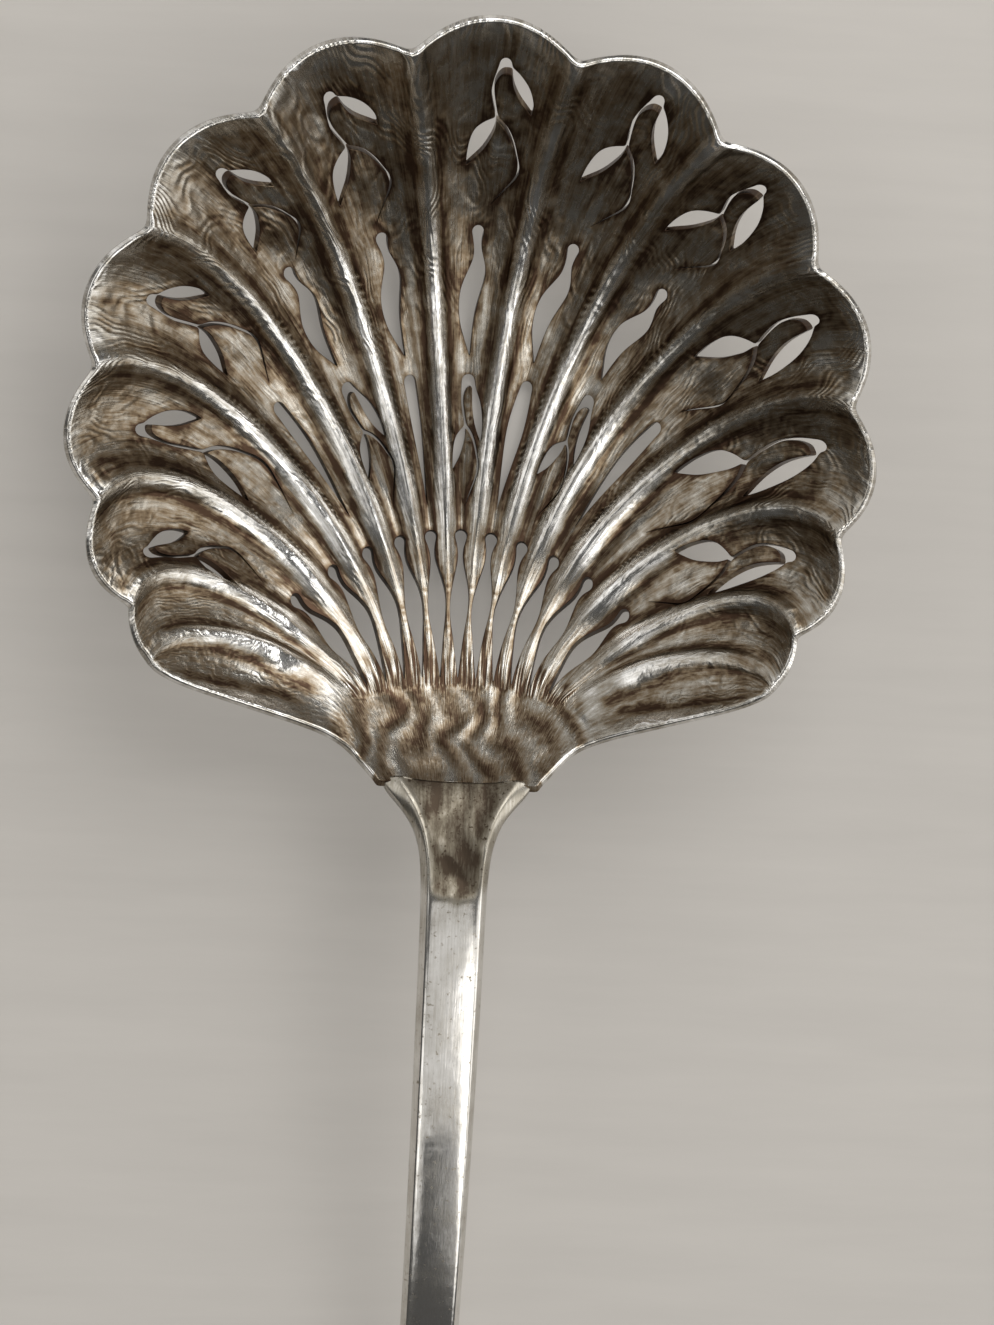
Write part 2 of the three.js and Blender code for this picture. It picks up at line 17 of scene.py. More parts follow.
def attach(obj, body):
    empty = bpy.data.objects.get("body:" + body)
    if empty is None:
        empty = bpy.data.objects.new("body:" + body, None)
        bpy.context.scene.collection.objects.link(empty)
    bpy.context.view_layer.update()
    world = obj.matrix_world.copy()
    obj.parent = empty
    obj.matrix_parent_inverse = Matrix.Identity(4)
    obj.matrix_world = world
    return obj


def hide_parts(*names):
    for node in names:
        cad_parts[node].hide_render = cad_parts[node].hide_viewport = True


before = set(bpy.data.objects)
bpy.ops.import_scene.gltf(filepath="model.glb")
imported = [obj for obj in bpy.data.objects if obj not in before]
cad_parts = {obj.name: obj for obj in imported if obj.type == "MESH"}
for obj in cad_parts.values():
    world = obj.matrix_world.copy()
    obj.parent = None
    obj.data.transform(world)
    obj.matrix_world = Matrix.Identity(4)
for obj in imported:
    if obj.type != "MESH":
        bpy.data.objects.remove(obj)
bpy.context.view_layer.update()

BODY = "root"
MM = 0.001
Array = np.ndarray
Colour = tuple[float, float, float]
log = logging.getLogger("sifter_spoon")


class Face(Enum):
    """The two faces of the silver sheet, by the side of the sheet's middle on which they lie."""

    INNER = 1
    OUTER = -1


class Ornament(Enum):
    """Kinds of piercing in the bowl."""

    SCROLL = "scroll"
    FLAME = "flame"
    SLOT = "slot"
    BASE = "base"


@dataclass(frozen=True)
class Placing:
    """Where the axis of the bowl and the table lie, in millimetres."""

    axis_y: float = 62.2307
    rest: float = -1.10303

    def place(self, points: Array) -> Array:
        """Points about the bowl's axis, moved into the shared frame and scaled to metres."""
        return (points + np.array([0.0, self.axis_y, -self.rest])) * MM


PLACING = Placing()


def smooth(value: Array, low: float, high: float) -> Array:
    """Smoothstep: 0 up to low, 1 from high on, and a cubic between them."""
    share = np.clip((value - low) / (high - low), 0.0, 1.0)
    return share * share * (3.0 - 2.0 * share)


def unit(vectors: Array) -> Array:
    """Vectors divided by their lengths."""
    return vectors / np.maximum(np.linalg.norm(vectors, axis=-1, keepdims=True), 1e-12)


def bernstein(share: Array) -> Array:
    """The four cubic Bernstein weights of each share, as the last axis."""
    rest = 1.0 - share
    return np.stack([rest**3, 3 * rest**2 * share, 3 * rest * share**2, share**3], axis=-1)


def along_bezier(controls: Array, share: Array, steps: int = 48) -> tuple[Array, Array]:
    """Points on cubic Bezier curves at shares of their arc length.

    Each curve is sampled, its chords are summed, the share of the sum is turned into a curve parameter by
    linear interpolation, and the curve is evaluated there.

    Args:
        controls: Control points of one curve per row, shape (n, 4, 2).
        share: Share of the length for each row.
        steps: Chords per curve.

    Returns:
        Points of shape (n, 2), and the length of each curve.
    """
    table = np.einsum("tk,nkd->ntd", bernstein(np.linspace(0.0, 1.0, steps + 1)), controls)
    run = np.cumsum(np.linalg.norm(np.diff(table, axis=1), axis=-1), axis=1)
    run = np.concatenate([np.zeros((len(run), 1)), run], axis=1)
    target = share * run[:, -1]
    step = np.clip((run < target[:, None]).sum(axis=1) - 1, 0, steps - 1)
    rows = np.arange(len(run))
    before, after = run[rows, step], run[rows, step + 1]
    parameter = (step + (target - before) / np.maximum(after - before, 1e-12)) / steps
    return np.einsum("nk,nkd->nd", bernstein(parameter), controls), run[:, -1]


def spline(points: Array, bends: int) -> Array:
    """Uniform Catmull-Rom curve through points, with doubled ends, without its last point.

    Args:
        points: Points to pass through, shape (n, 2).
        bends: Samples between two points.

    Returns:
        Samples of shape ((n - 1) * bends, 2).
    """
    guard = np.concatenate([points[:1], points, points[-1:]])
    share = (np.arange(bends) / bends)[None, :, None]
    before, start, end, after = (guard[i : i + len(points) - 1, None, :] for i in range(4))
    leave, arrive = (end - before) / 2, (after - start) / 2
    cubic = (2 * start - 2 * end + leave + arrive) * share**3
    square = (-3 * start + 3 * end - 2 * leave - arrive) * share**2
    return (cubic + square + leave * share + start).reshape(-1, 2)


def run_along(points: Array) -> Array:
    """Length of a line of points up to each of them."""
    return np.concatenate([[0.0], np.cumsum(np.linalg.norm(np.diff(points, axis=0), axis=1))])


def loft(points: Array, inside_out: bool = False) -> tuple[Array, Array]:
    """A closed skin through rings of points, with a fan on the first ring and on the last.

    Args:
        points: The rings, shape (rings, points, 3).
        inside_out: True where the rings turn the other way.

    Returns:
        Points of shape (n, 3), the middles of the fans last, and triangles.
    """
    rings, count = points.shape[:2]
    size = rings * count
    index = np.arange(size).reshape(rings, count)
    turned = np.roll(index, -1, axis=1)
    here, after, ahead, beyond = index[:-1], turned[:-1], index[1:], turned[1:]
    made = np.concatenate(
        [
            np.stack([here, ahead, beyond], axis=-1).reshape(-1, 3),
            np.stack([here, beyond, after], axis=-1).reshape(-1, 3),
            np.column_stack([np.full(count, size), index[0], turned[0]]),
            np.column_stack([np.full(count, size + 1), turned[-1], index[-1]]),
        ]
    )
    solid = np.concatenate([points.reshape(-1, 3), points[[0, -1]].mean(axis=1)])
    return solid, made[:, ::-1] if inside_out else made


@dataclass(frozen=True)
class Row:
    """A row that the flutes run through: its step per flute, its place on the axis and its drop."""

    step: float
    y: float
    drop: float

    def at(self, flute: Array, level_from: float) -> Array:
        """Points of the row: it falls with the square of the flute, and beyond level_from runs on level."""
        y = self.y - self.drop * np.minimum(flute, level_from) ** 2
        return np.stack([self.step * flute, y], axis=-1)


@dataclass(frozen=True)
class Span:
    """Two values between which something changes smoothly."""

    low: float
    high: float

    def rise(self, value: Array) -> Array:
        """0 up to the low value, 1 from the high one on, and a smooth step between them."""
        return smooth(value, self.low, self.high)


@dataclass(frozen=True)
class Bell:
    """A Gaussian bell: its middle and its half width."""

    middle: float
    half: float

    def at(self, value: Array) -> Array:
        """Height of the bell: e to minus the square of the distance from its middle in half widths."""
        return np.exp(-(((value - self.middle) / self.half) ** 2))


@dataclass(frozen=True)
class Dome:
    """A soft swelling of the inner face: a bell in flutes, a bell in shares and a height."""

    across: Bell
    along: Bell
    height: float

    def lift(self, flute: Array, share: Array) -> Array:
        """Height of the swelling: the product of its height and its two bells."""
        return self.height * self.across.at(flute) * self.along.at(share)


@dataclass(frozen=True)
class BowlForm:
    """Sizes and surface of the fluted sheet, in millimetres about the axis of the bowl."""

    sheet: float = 0.9
    rim_radius: float = 34.2
    depth: float = 17.0
    power: float = 2.3
    side_flutes: int = 5
    rim_pitch: float = 25.0
    pitch_fall: float = 0.11
    end_pitch: float = 8.0
    ear_pitch: float = 0.6
    flute_depth: float = 1.9
    end_depth: float = 0.85
    end_join: float = 0.8
    join_start: float = 0.5
    flute_start: float = 0.03
    flute_growth: float = 0.85
    seam_row: Row = Row(0.97, -31.6, 0.0)
    heel_row: Row = Row(1.68, -23.2, 0.038)
    floor_row: Row = Row(2.05, -5.9, 0.51)
    wall_radius: float = 29.0
    wall_y: float = -3.8
    wall_pitch: float = 17.7
    heel_bend: float = 0.35
    ear_edge: tuple[tuple[float, float], ...] = ((11.5, -28.0), (15.0, -26.2), (23.5, -24.7))
    rib_round: float = 0.62
    rib_share: float = 0.17
    bead_half: float = 1.15
    bead_limit: float = 0.3
    bead_height: float = 0.3
    bead_start: Span = Span(0.22, 0.4)
    bead_fade: Span = Span(0.75, 1.0)
    bead_loss: float = 0.6
    domes: tuple[Dome, ...] = ()

    @property
    def flute_edge(self) -> float:
        """Crest beyond the last pierced flute."""
        return self.side_flutes + 0.5

    @property
    def edge(self) -> float:
        """Free edge of an ear."""
        return self.flute_edge + 2

    def height(self, reach: Array) -> Array:
        """Height of the plain form: the depth times a power of its reach over the rim's."""
        return self.depth * (reach / self.rim_radius) ** self.power

    def slope(self, reach: Array | float) -> Array | float:
        """Slope of the plain form: the derivative of its height by the distance from its axis."""
        return self.power * self.depth / self.rim_radius * (reach / self.rim_radius) ** (self.power - 1)

    def rim_turn(self, flute: Array) -> Array:
        """Angle on the rim, in radians from the tip.

        The pitch times the flute, less a cube of the flute; the end flute and the ear add even steps.

        Args:
            flute: Places across the bowl, counted in flutes.

        Returns:
            One angle per place.
        """
        inside = np.minimum(flute, self.flute_edge)
        beyond = np.maximum(flute - self.flute_edge - 1, 0.0)
        degrees = self.rim_pitch * inside - self.pitch_fall * inside**3
        return np.radians(degrees + self.end_pitch * (flute - inside - beyond) + self.ear_pitch * beyond)

    def field_of(self, flute: Array) -> Array:
        """Number of the flute that a place lies in: the nearest whole number, the ear's at most."""
        return np.minimum(np.floor(np.abs(flute) + 0.5), self.side_flutes + 2)

    def narrowing(self, flute: Array) -> Array:
        """Share of the middle flute's pitch that a flute has: the derivative of its angle on the rim."""
        own = 1 - 3 * self.pitch_fall * self.field_of(flute) ** 2 / self.rim_pitch
        return np.where(self.field_of(flute) > self.side_flutes, self.end_pitch / self.rim_pitch, own)

    def width(self, flute: Array, share: Array) -> Array:
        """Width of a flute: Bernstein weights of the widths of its rows, and the seam's before them.

        Args:
            flute: Places across the bowl, counted in flutes.
            share: Shares of the flutes' lines.

        Returns:
            One width per place.
        """
        rim = np.radians(self.rim_pitch) * self.narrowing(flute) * self.rim_radius
        wall = np.radians(self.wall_pitch) * self.wall_radius * np.ones_like(rim)
        weights = bernstein(np.clip(share, 0.0, 1.0))
        bowl = weights[..., 0] * self.heel_row.step + weights[..., 1] * self.floor_row.step
        bowl = bowl + weights[..., 2] * wall + weights[..., 3] * rim
        heel = self.heel_row.step + (self.heel_row.step - self.seam_row.step) * np.minimum(share, 0.0)
        return np.where(share < 0, heel, bowl)

    def from_crest(self, flute: Array, share: Array) -> Array:
        """Distance from the nearest crest: half a flute less that from the trough, times the width."""
        return (0.5 - np.abs(np.abs(flute) - self.field_of(flute))) * self.width(flute, share)

    def from_bead(self, flute: Array, share: Array) -> tuple[Array, Array]:
        """Half width of the nearest bead, and the distance from its crest in such half widths."""
        half = np.minimum(self.bead_half, self.bead_limit * self.width(flute, share))
        return half, self.from_crest(flute, share) / half

    def bead(self, flute: Array, share: Array) -> Array:
        """Height of the bead along each crest, with a crease along both its sides.

        1 less the cube of the distance from the crest in half widths, faded in from the heel and out
        towards the rim.

        Args:
            flute: Places across the bowl, counted in flutes.
            share: Shares of the flutes' lines.

        Returns:
            One height per place.
        """
        half, away = self.from_bead(flute, share)
        high = self.bead_height * half / self.bead_half
        high = high * self.bead_start.rise(share) * (1 - self.bead_loss * self.bead_fade.rise(share))
        return high * (np.abs(flute) < self.edge - 0.5) * (1 - np.minimum(away, 1.0) ** 3)

    def relief(self, flute: Array, share: Array) -> Array:
        """What the inner face is raised over the sheet: beads and domes."""
        return self.bead(flute, share) + sum(dome.lift(flute, share) for dome in self.domes)

    def lobe(self, flute: Array, share: Array) -> Array:
        """Hollow across a flute, 1 in its trough and 0 on its crests.

        A parabola in the distance w from the crest, which is eased to sqrt(w^2 + r^2) - r, so that the
        crest is a rounded rib of about the radius r.

        Args:
            flute: Places across the bowl, counted in flutes.
            share: Shares of the flutes' lines.

        Returns:
            One value per place.
        """
        half = self.width(flute, share) / 2
        away = self.from_crest(flute, share)
        ease = np.minimum(self.rib_round, self.rib_share * 2 * half)
        soft = np.sqrt(away**2 + ease**2) - ease
        full = np.sqrt(half**2 + ease**2) - ease
        return 1 - (1 - soft / full) ** 2

    def hollow(self, flute: Array, share: Array) -> Array:
        """Depth on the rim of the flute that a place lies in.

        Towards the rim the end flute and the ear become one hollow.

        Args:
            flute: Places across the bowl, counted in flutes.
            share: Shares of the flutes' lines.

        Returns:
            One depth per place.
        """
        lobe = self.lobe(flute, share)
        past = np.clip((np.abs(flute) - self.flute_edge) / self.end_join, 0.0, 1.0)
        joined = 1 - (1 - past) ** 2
        ending = lobe + (joined - lobe) * smooth(share, self.join_start, 1.0)
        ends = self.field_of(flute) > self.side_flutes
        return np.where(ends, self.end_depth * ending, self.flute_depth * self.narrowing(flute) * lobe)

    def rim_points(self, flute: Array) -> Array:
        """Ends of the flutes' lines, set out from the rim so that the hollowed rim stays level.

        A point on the rim circle moved outwards by the depth of the flute over the slope and the length of
        the normal.

        Args:
            flute: Places across the bowl, counted in flutes.

        Returns:
            Points in plan, shape (n, 2).
        """
        slope = self.slope(self.rim_radius)
        reach = self.rim_radius + self.hollow(flute, np.ones_like(flute)) / (slope * np.hypot(1, slope))
        turn = self.rim_turn(flute)
        return np.stack([reach * np.sin(turn), reach * np.cos(turn)], axis=-1)

    def steering(self, flute: Array) -> list[Array]:
        """Four points that steer a flute's line from the heel to the rim, on the bowl's right half.

        Two rows, a circle and the rim; beyond the end flute they move in a straight line to the ear's edge.

        Args:
            flute: Places across the bowl, counted in flutes.

        Returns:
            Points in plan by heel, floor, wall and rim, each (n, 2).
        """
        inside = np.minimum(flute, self.flute_edge + 1)
        turn = np.radians(self.wall_pitch * inside)
        wall = np.stack([np.sin(turn), np.cos(turn)], axis=-1) * self.wall_radius + [0.0, self.wall_y]
        rows = [row.at(inside, self.flute_edge) for row in (self.heel_row, self.floor_row)]
        beyond = (flute - inside)[:, None]
        pairs = zip([*rows, wall], np.array(self.ear_edge))
        return [point + beyond * (ear - point) for point, ear in pairs] + [self.rim_points(flute)]

    def lines(self, flute: Array) -> tuple[Array, Array]:
        """Control points of the flutes' lines in plan, mirrored on the left half.

        The bend over the heel leaves the seam towards the heel and meets the long bend in its direction.

        Args:
            flute: Places across the bowl, counted in flutes from the middle one.

        Returns:
            The short bends over the heel and the long bends from the heel to the rim, each (n, 4, 2).
        """
        size = np.abs(flute)
        heel, floor, wall, rim = self.steering(size)
        seam = self.seam_row.at(size, self.flute_edge)
        rise = (heel - seam) * self.heel_bend
        turn = unit(heel - floor) * np.linalg.norm(rise, axis=-1, keepdims=True)
        rise = rise * np.stack([size / self.edge, np.ones_like(size)], axis=-1)
        mirror = np.stack([np.where(flute < 0, -1.0, 1.0), np.ones_like(size)], axis=-1)[:, None, :]
        short = np.stack([seam, seam + rise, heel + turn, heel], axis=1) * mirror
        return short, np.stack([heel, floor, wall, rim], axis=1) * mirror

    def length(self, flute: float) -> float:
        """Length of one flute's line from the heel to the rim, in plan."""
        return float(along_bezier(self.lines(np.array([flute]))[1], np.ones(1))[1][0])

    def plan(self, flute: Array, share: Array) -> Array:
        """Points of the flutes' lines: share is -1 at the seam, 0 at the heel and 1 at the rim.

        Args:
            flute: Places across the bowl, counted in flutes.
            share: Shares of the flutes' lines.

        Returns:
            Points in plan, shape (n, 2).
        """
        short, long = self.lines(flute)
        over_heel = along_bezier(short, np.clip(share + 1, 0, 1))[0]
        over_bowl = along_bezier(long, np.clip(share, 0, 1))[0]
        return np.where((share < 0)[:, None], over_heel, over_bowl)

    def surface(self, flute: Array, share: Array, offset: Array | float) -> Array:
        """Points of the sheet.

        The point of the flute's line is lifted to the plain form, and then moved along the form's normal
        by the offset from the middle of the sheet less the depth of the flute.

        Args:
            flute: Places across the bowl, counted in flutes.
            share: Shares of the flutes' lines.
            offset: Distance from the middle of the sheet towards the inside.

        Returns:
            Points of shape (n, 3).
        """
        plan = self.plan(flute, share)
        reach = np.maximum(np.linalg.norm(plan, axis=-1), 1e-9)
        slope = self.slope(reach)
        along = np.maximum((share - self.flute_start) / (1 - self.flute_start), 0.0)
        inner = 0.5 + offset / self.sheet
        lift = self.relief(flute, share) * inner - self.hollow(flute, share) * along**self.flute_growth
        push = (offset + lift) / np.hypot(1.0, slope)
        flat = plan * (1 - push * slope / reach)[:, None]
        return np.column_stack([flat, self.height(reach) + push])

    def tangents(self, flute: Array, share: Array, offset: Array | float) -> tuple[Array, Array]:
        """Central differences of the surface across and along the flutes, per flute and per share.

        Args:
            flute: Places across the bowl, counted in flutes.
            share: Shares of the flutes' lines.
            offset: Distance from the middle of the sheet towards the inside.

        Returns:
            Two arrays of vectors, each (n, 3).
        """
        wide, long = 4e-3, 1e-3
        low, high = np.maximum(flute - wide, -self.edge), np.minimum(flute + wide, self.edge)
        first, last = np.maximum(share - long, -1.0), np.minimum(share + long, 1.0)
        across = self.surface(high, share, offset) - self.surface(low, share, offset)
        along = self.surface(flute, last, offset) - self.surface(flute, first, offset)
        return across / (high - low)[:, None], along / (last - first)[:, None]


@dataclass(frozen=True)
class Piercing:
    """One piercing: its kind, the place of its round outer end, its length and its leaves.

    The tongue and the petal that a scroll leaves are given by their middles and half sizes, across in
    widths and along in lengths of the scroll.
    """

    kind: Ornament
    flute: float
    from_heel: float
    length: float
    hole: float
    width: float = 1.0
    leaf: float = 0.0
    lean: float = 0.0
    saw_cut: float = 0.2
    tongue: tuple[float, ...] = (0.04, 0.17, 0.11, 0.15)
    petal: tuple[float, ...] = (0.06, 0.6, 0.13, 0.2)

    def edges(self, half: float) -> list[list[tuple[float, float]]]:
        """Edges of the outline after its round end: across in flutes, along in shares of the length.

        Args:
            half: Half width of the round end in flutes.

        Returns:
            Rows of points, one row per edge.
        """
        leaf = self.leaf
        if self.kind is Ornament.SCROLL:
            slit = self.saw_cut * half / self.hole / self.width
            tip, tongue, waist, end = (0.28, -leaf), (0.06, -0.04), (0.005, -0.345), (0.06, -1.0)
            lower, slit_end, neck = (-0.24, -0.7), (0.005 - slit / 2, -0.37), (0.005 - slit, -0.355)
            rows = [
                [(0.13, -0.14 * leaf), (0.22, -0.38 * leaf), (0.275, -0.7 * leaf), tip],
                [tip, (0.165, -0.78 * leaf), (0.09, -0.48 * leaf), tongue],
                [tongue, (-0.02, -0.06), (-0.06, -0.16), waist],
                [waist, (0.13, -0.42), (0.235, -0.55), (0.285, -0.71), end],
                [end, (0.285 - slit, -0.71), (0.235 - slit, -0.56), (0.13 - slit, -0.44), slit_end],
                [slit_end, (-0.01, -0.46), (-0.095, -0.6), lower],
                [lower, (-0.23, -0.56), (-0.175, -0.44), neck],
                [neck, (-0.06 - slit, -0.18)],
            ]
        elif self.kind is Ornament.FLAME:
            rows = [
                [(0.05, -0.12), (0.12, -0.33), (0.03, -0.66), (0.0, -1.0)],
                [(0.0, -1.0), (-0.16, -0.72), (-0.17, -0.46), (-0.03, -0.2)],
            ]
        elif self.kind is Ornament.BASE:
            rows = [
                [(0.1, -0.15), (0.42, -0.44), (0.22, -0.74), (0.0, -1.0)],
                [(0.0, -1.0), (-0.24, -0.76), (-0.42, -0.5), (-0.09, -0.17)],
            ]
        else:
            swell = self.width / 2 * half / self.hole
            rows = [[(swell, -0.4), (0.0, -1.0)], [(0.0, -1.0), (-swell, -0.4)]]
            return [[(half, 0.0), *rows[0]], [*rows[1], (-half, 0.0)]]
        laid = [[(x * self.width - self.lean * y, y) for x, y in row] for row in rows]
        laid[0].insert(0, (half, 0.0))
        laid[-1].append((-half, 0.0))
        return laid

    def domes(self, form: BowlForm, height: float) -> list[Dome]:
        """Swellings of the tongue and of the petal of a scroll, moved and scaled with it.

        Args:
            form: The sheet.
            height: Height of a swelling.

        Returns:
            Two swellings, or none for other kinds.
        """
        if self.kind is not Ornament.SCROLL:
            return []
        length = form.length(self.flute)
        made = []
        for across, along, wide, long in (self.tongue, self.petal):
            flutes = Bell(self.flute + across * self.width + self.lean * along, wide * self.width)
            shares = Bell((self.from_heel - along * self.length) / length, long * self.length / length)
            made.append(Dome(flutes, shares, height))
        return made

    def outline(self, form: BowlForm, bends: int = 10, round_steps: int = 18) -> tuple[Array, Array]:
        """The outline as places on the bowl.

        A half round end and then Catmull-Rom curves along the edges, laid along the flute.

        Args:
            form: The sheet that is pierced.
            bends: Samples between two points of an edge.
            round_steps: Steps round the outer end.

        Returns:
            Flute and share of each point, clockwise seen from above.
        """
        length = form.length(self.flute)
        share = np.full(2, self.from_heel / length)
        pair = form.plan(np.array([self.flute - 0.25, self.flute + 0.25]), share)
        half = self.hole / (np.linalg.norm(pair[1] - pair[0]) / 0.5)
        turn = np.pi * (1 - np.arange(round_steps) / round_steps)
        parts = [np.column_stack([half * np.cos(turn), self.hole / self.length * np.sin(turn)])]
        parts += [spline(np.array(edge), bends) for edge in self.edges(half)]
        points = np.concatenate(parts)
        return self.flute + points[:, 0], (self.from_heel + points[:, 1] * self.length) / length


@dataclass(frozen=True)
class PiercingPlan:
    """Where the piercings are, ring by ring.

    The rim scrolls were sawn freehand. Each row, from the left flute to the right one, has the shift of the
    hole and the lean of the tail in flutes, the distance from the rim, the length, the share of the length
    that the upper leaf takes, and the width. The slots have their flute and their width at the swell.
    """

    rim_hole: float = 0.55
    rim_scrolls: tuple[tuple[float, ...], ...] = (
        (-0.24, 0.06, 4.6, 10.9, 0.33, 0.95),
        (-0.06, 0.1, 6.1, 15.5, 0.27, 1.05),
        (0.0, 0.05, 5.0, 11.9, 0.26, 0.95),
        (0.04, 0.02, 4.0, 8.9, 0.29, 0.85),
        (-0.08, 0.0, 3.7, 10.6, 0.26, 0.95),
        (0.08, -0.04, 3.2, 10.9, 0.25, 0.85),
        (0.06, -0.05, 2.4, 10.9, 0.31, 0.85),
        (-0.08, -0.06, 2.5, 8.9, 0.5, 0.95),
        (-0.1, 0.08, 3.6, 13.0, 0.41, 1.1),
        (-0.1, 0.08, 4.3, 16.8, 0.38, 1.3),
        (-0.06, 0.0, 4.9, 13.0, 0.5, 1.4),
    )
    flame_flutes: tuple[int, ...] = (-2, -1, 0, 1, 2)
    flame_hole: float = 0.55
    flame_from_heel: float = 42.1
    flame_fall: float = 0.5
    flame_length: float = 11.2
    inner_flutes: tuple[int, ...] = (-2, 0, 2)
    inner_hole: float = 0.62
    inner_from_heel: float = 28.7
    inner_length: float = 12.0
    inner_leaf: float = 0.46
    inner_width: float = 1.2
    slot_hole: float = 0.55
    slots: tuple[tuple[int, float], ...] = ((-3, 1.3), (-1, 1.0), (1, 1.8), (3, 1.5))
    base_hole: float = 0.6
    base_from_heel: float = 13.9
    base_fall: float = 0.12
    base_narrowing: float = 0.016
    base_end: float = 0.4

    def all(self, form: BowlForm) -> list[Piercing]:
        """Every piercing of the bowl, from the rim inwards.

        Args:
            form: The sheet.

        Returns:
            The piercings.
        """
        flutes = range(-form.side_flutes, form.side_flutes + 1)
        inner = (self.inner_from_heel, self.inner_length)
        made = []
        for flute, (shift, lean, inset, length, leaf, width) in zip(flutes, self.rim_scrolls):
            start = form.length(flute + shift) - inset
            shape = (flute + shift, start, length, self.rim_hole, width, leaf, lean)
            made.append(Piercing(Ornament.SCROLL, *shape))
        for flute in self.flame_flutes:
            fall = self.flame_fall * flute**2
            shape = (self.flame_from_heel - fall, self.flame_length - fall, self.flame_hole)
            made.append(Piercing(Ornament.FLAME, flute, *shape))
        for flute in self.inner_flutes:
            shape = (*inner, self.inner_hole, self.inner_width, self.inner_leaf)
            made.append(Piercing(Ornament.SCROLL, flute, *shape))
        for flute, width in self.slots:
            made.append(Piercing(Ornament.SLOT, flute, *inner, self.slot_hole, width))
        for flute in flutes:
            start = self.base_from_heel - self.base_fall * flute**2
            shape = (start, start - self.base_end, self.base_hole, 1 - self.base_narrowing * flute**2)
            made.append(Piercing(Ornament.BASE, flute, *shape))
        return made


@dataclass
class Ribbon:
    """A closed path on the sheet with the metal on its left: a saw cut or the free edge of the bowl.

    It eases its arris by a distance, and by no more than a share of the room to what faces it.
    """

    flute: Array
    share: Array
    ease: float | Array
    spacing: float
    room_share: float = 0.3
    facing: float = 0.5

    def even(self, form: BowlForm) -> None:
        """Spaces the points evenly along the path and rounds its corners by a 1-2-1 average.

        Args:
            form: The sheet.
        """
        points = form.surface(self.flute, self.share, 0.0)
        run = run_along(np.concatenate([points, points[:1]]))
        count = int(np.ceil(run[-1] / self.spacing))
        at = np.arange(count) * run[-1] / count
        pair = [np.interp(at, run, np.append(row, row[0])) for row in (self.flute, self.share)]
        self.flute, self.share = ((np.roll(row, 1) + 2 * row + np.roll(row, -1)) / 4 for row in pair)

    def ways(self, form: BowlForm) -> tuple[Array, Array]:
        """Points of the path on the middle of the sheet and unit ways from them into the metal.

        A way is the cross product of the sheet's normal and the path's tangent.

        Args:
            form: The sheet.

        Returns:
            Points and ways, each (n, 3).
        """
        points = form.surface(self.flute, self.share, 0.0)
        across, along = form.tangents(self.flute, self.share, 0.0)
        tangent = unit(np.roll(points, -1, axis=0) - np.roll(points, 1, axis=0))
        return points, unit(np.cross(np.cross(across, along), tangent))

    def inset(self, form: BowlForm, others: Array) -> tuple[Array, Array]:
        """The path moved into the metal by its ease, less where the metal is narrow.

        The room is the distance to the nearest point of any path that lies within 60 degrees of the way
        into the metal. Least squares on the tangents turn the move into steps of flute and share.

        Args:
            form: The sheet.
            others: Points of all paths, shape (m, 3).

        Returns:
            Flute and share of the moved points.
        """
        points, way = self.ways(form)
        gap = others[None, :, :] - points[:, None, :]
        far = np.linalg.norm(gap, axis=2)
        facing = np.einsum("nmd,nd->nm", gap, way) > self.facing * far
        room = np.where(facing & (far > 1e-6), far, np.inf).min(axis=1)
        move = np.minimum(self.ease, self.room_share * room)
        move = np.minimum(move, (np.roll(move, 1) + move + np.roll(move, -1)) / 3)
        across, along = form.tangents(self.flute, self.share, 0.0)
        goal = way * move[:, None]
        pairs = ((across, across), (across, along), (along, along), (goal, across), (goal, along))
        aa, ab, bb, ga, gb = ((u * v).sum(axis=1) for u, v in pairs)
        scale = aa * bb - ab * ab
        flute = self.flute + (ga * bb - gb * ab) / scale
        share = self.share + (gb * aa - ga * ab) / scale
        return np.clip(flute, -form.edge, form.edge), np.clip(share, -1.0, 1.0)


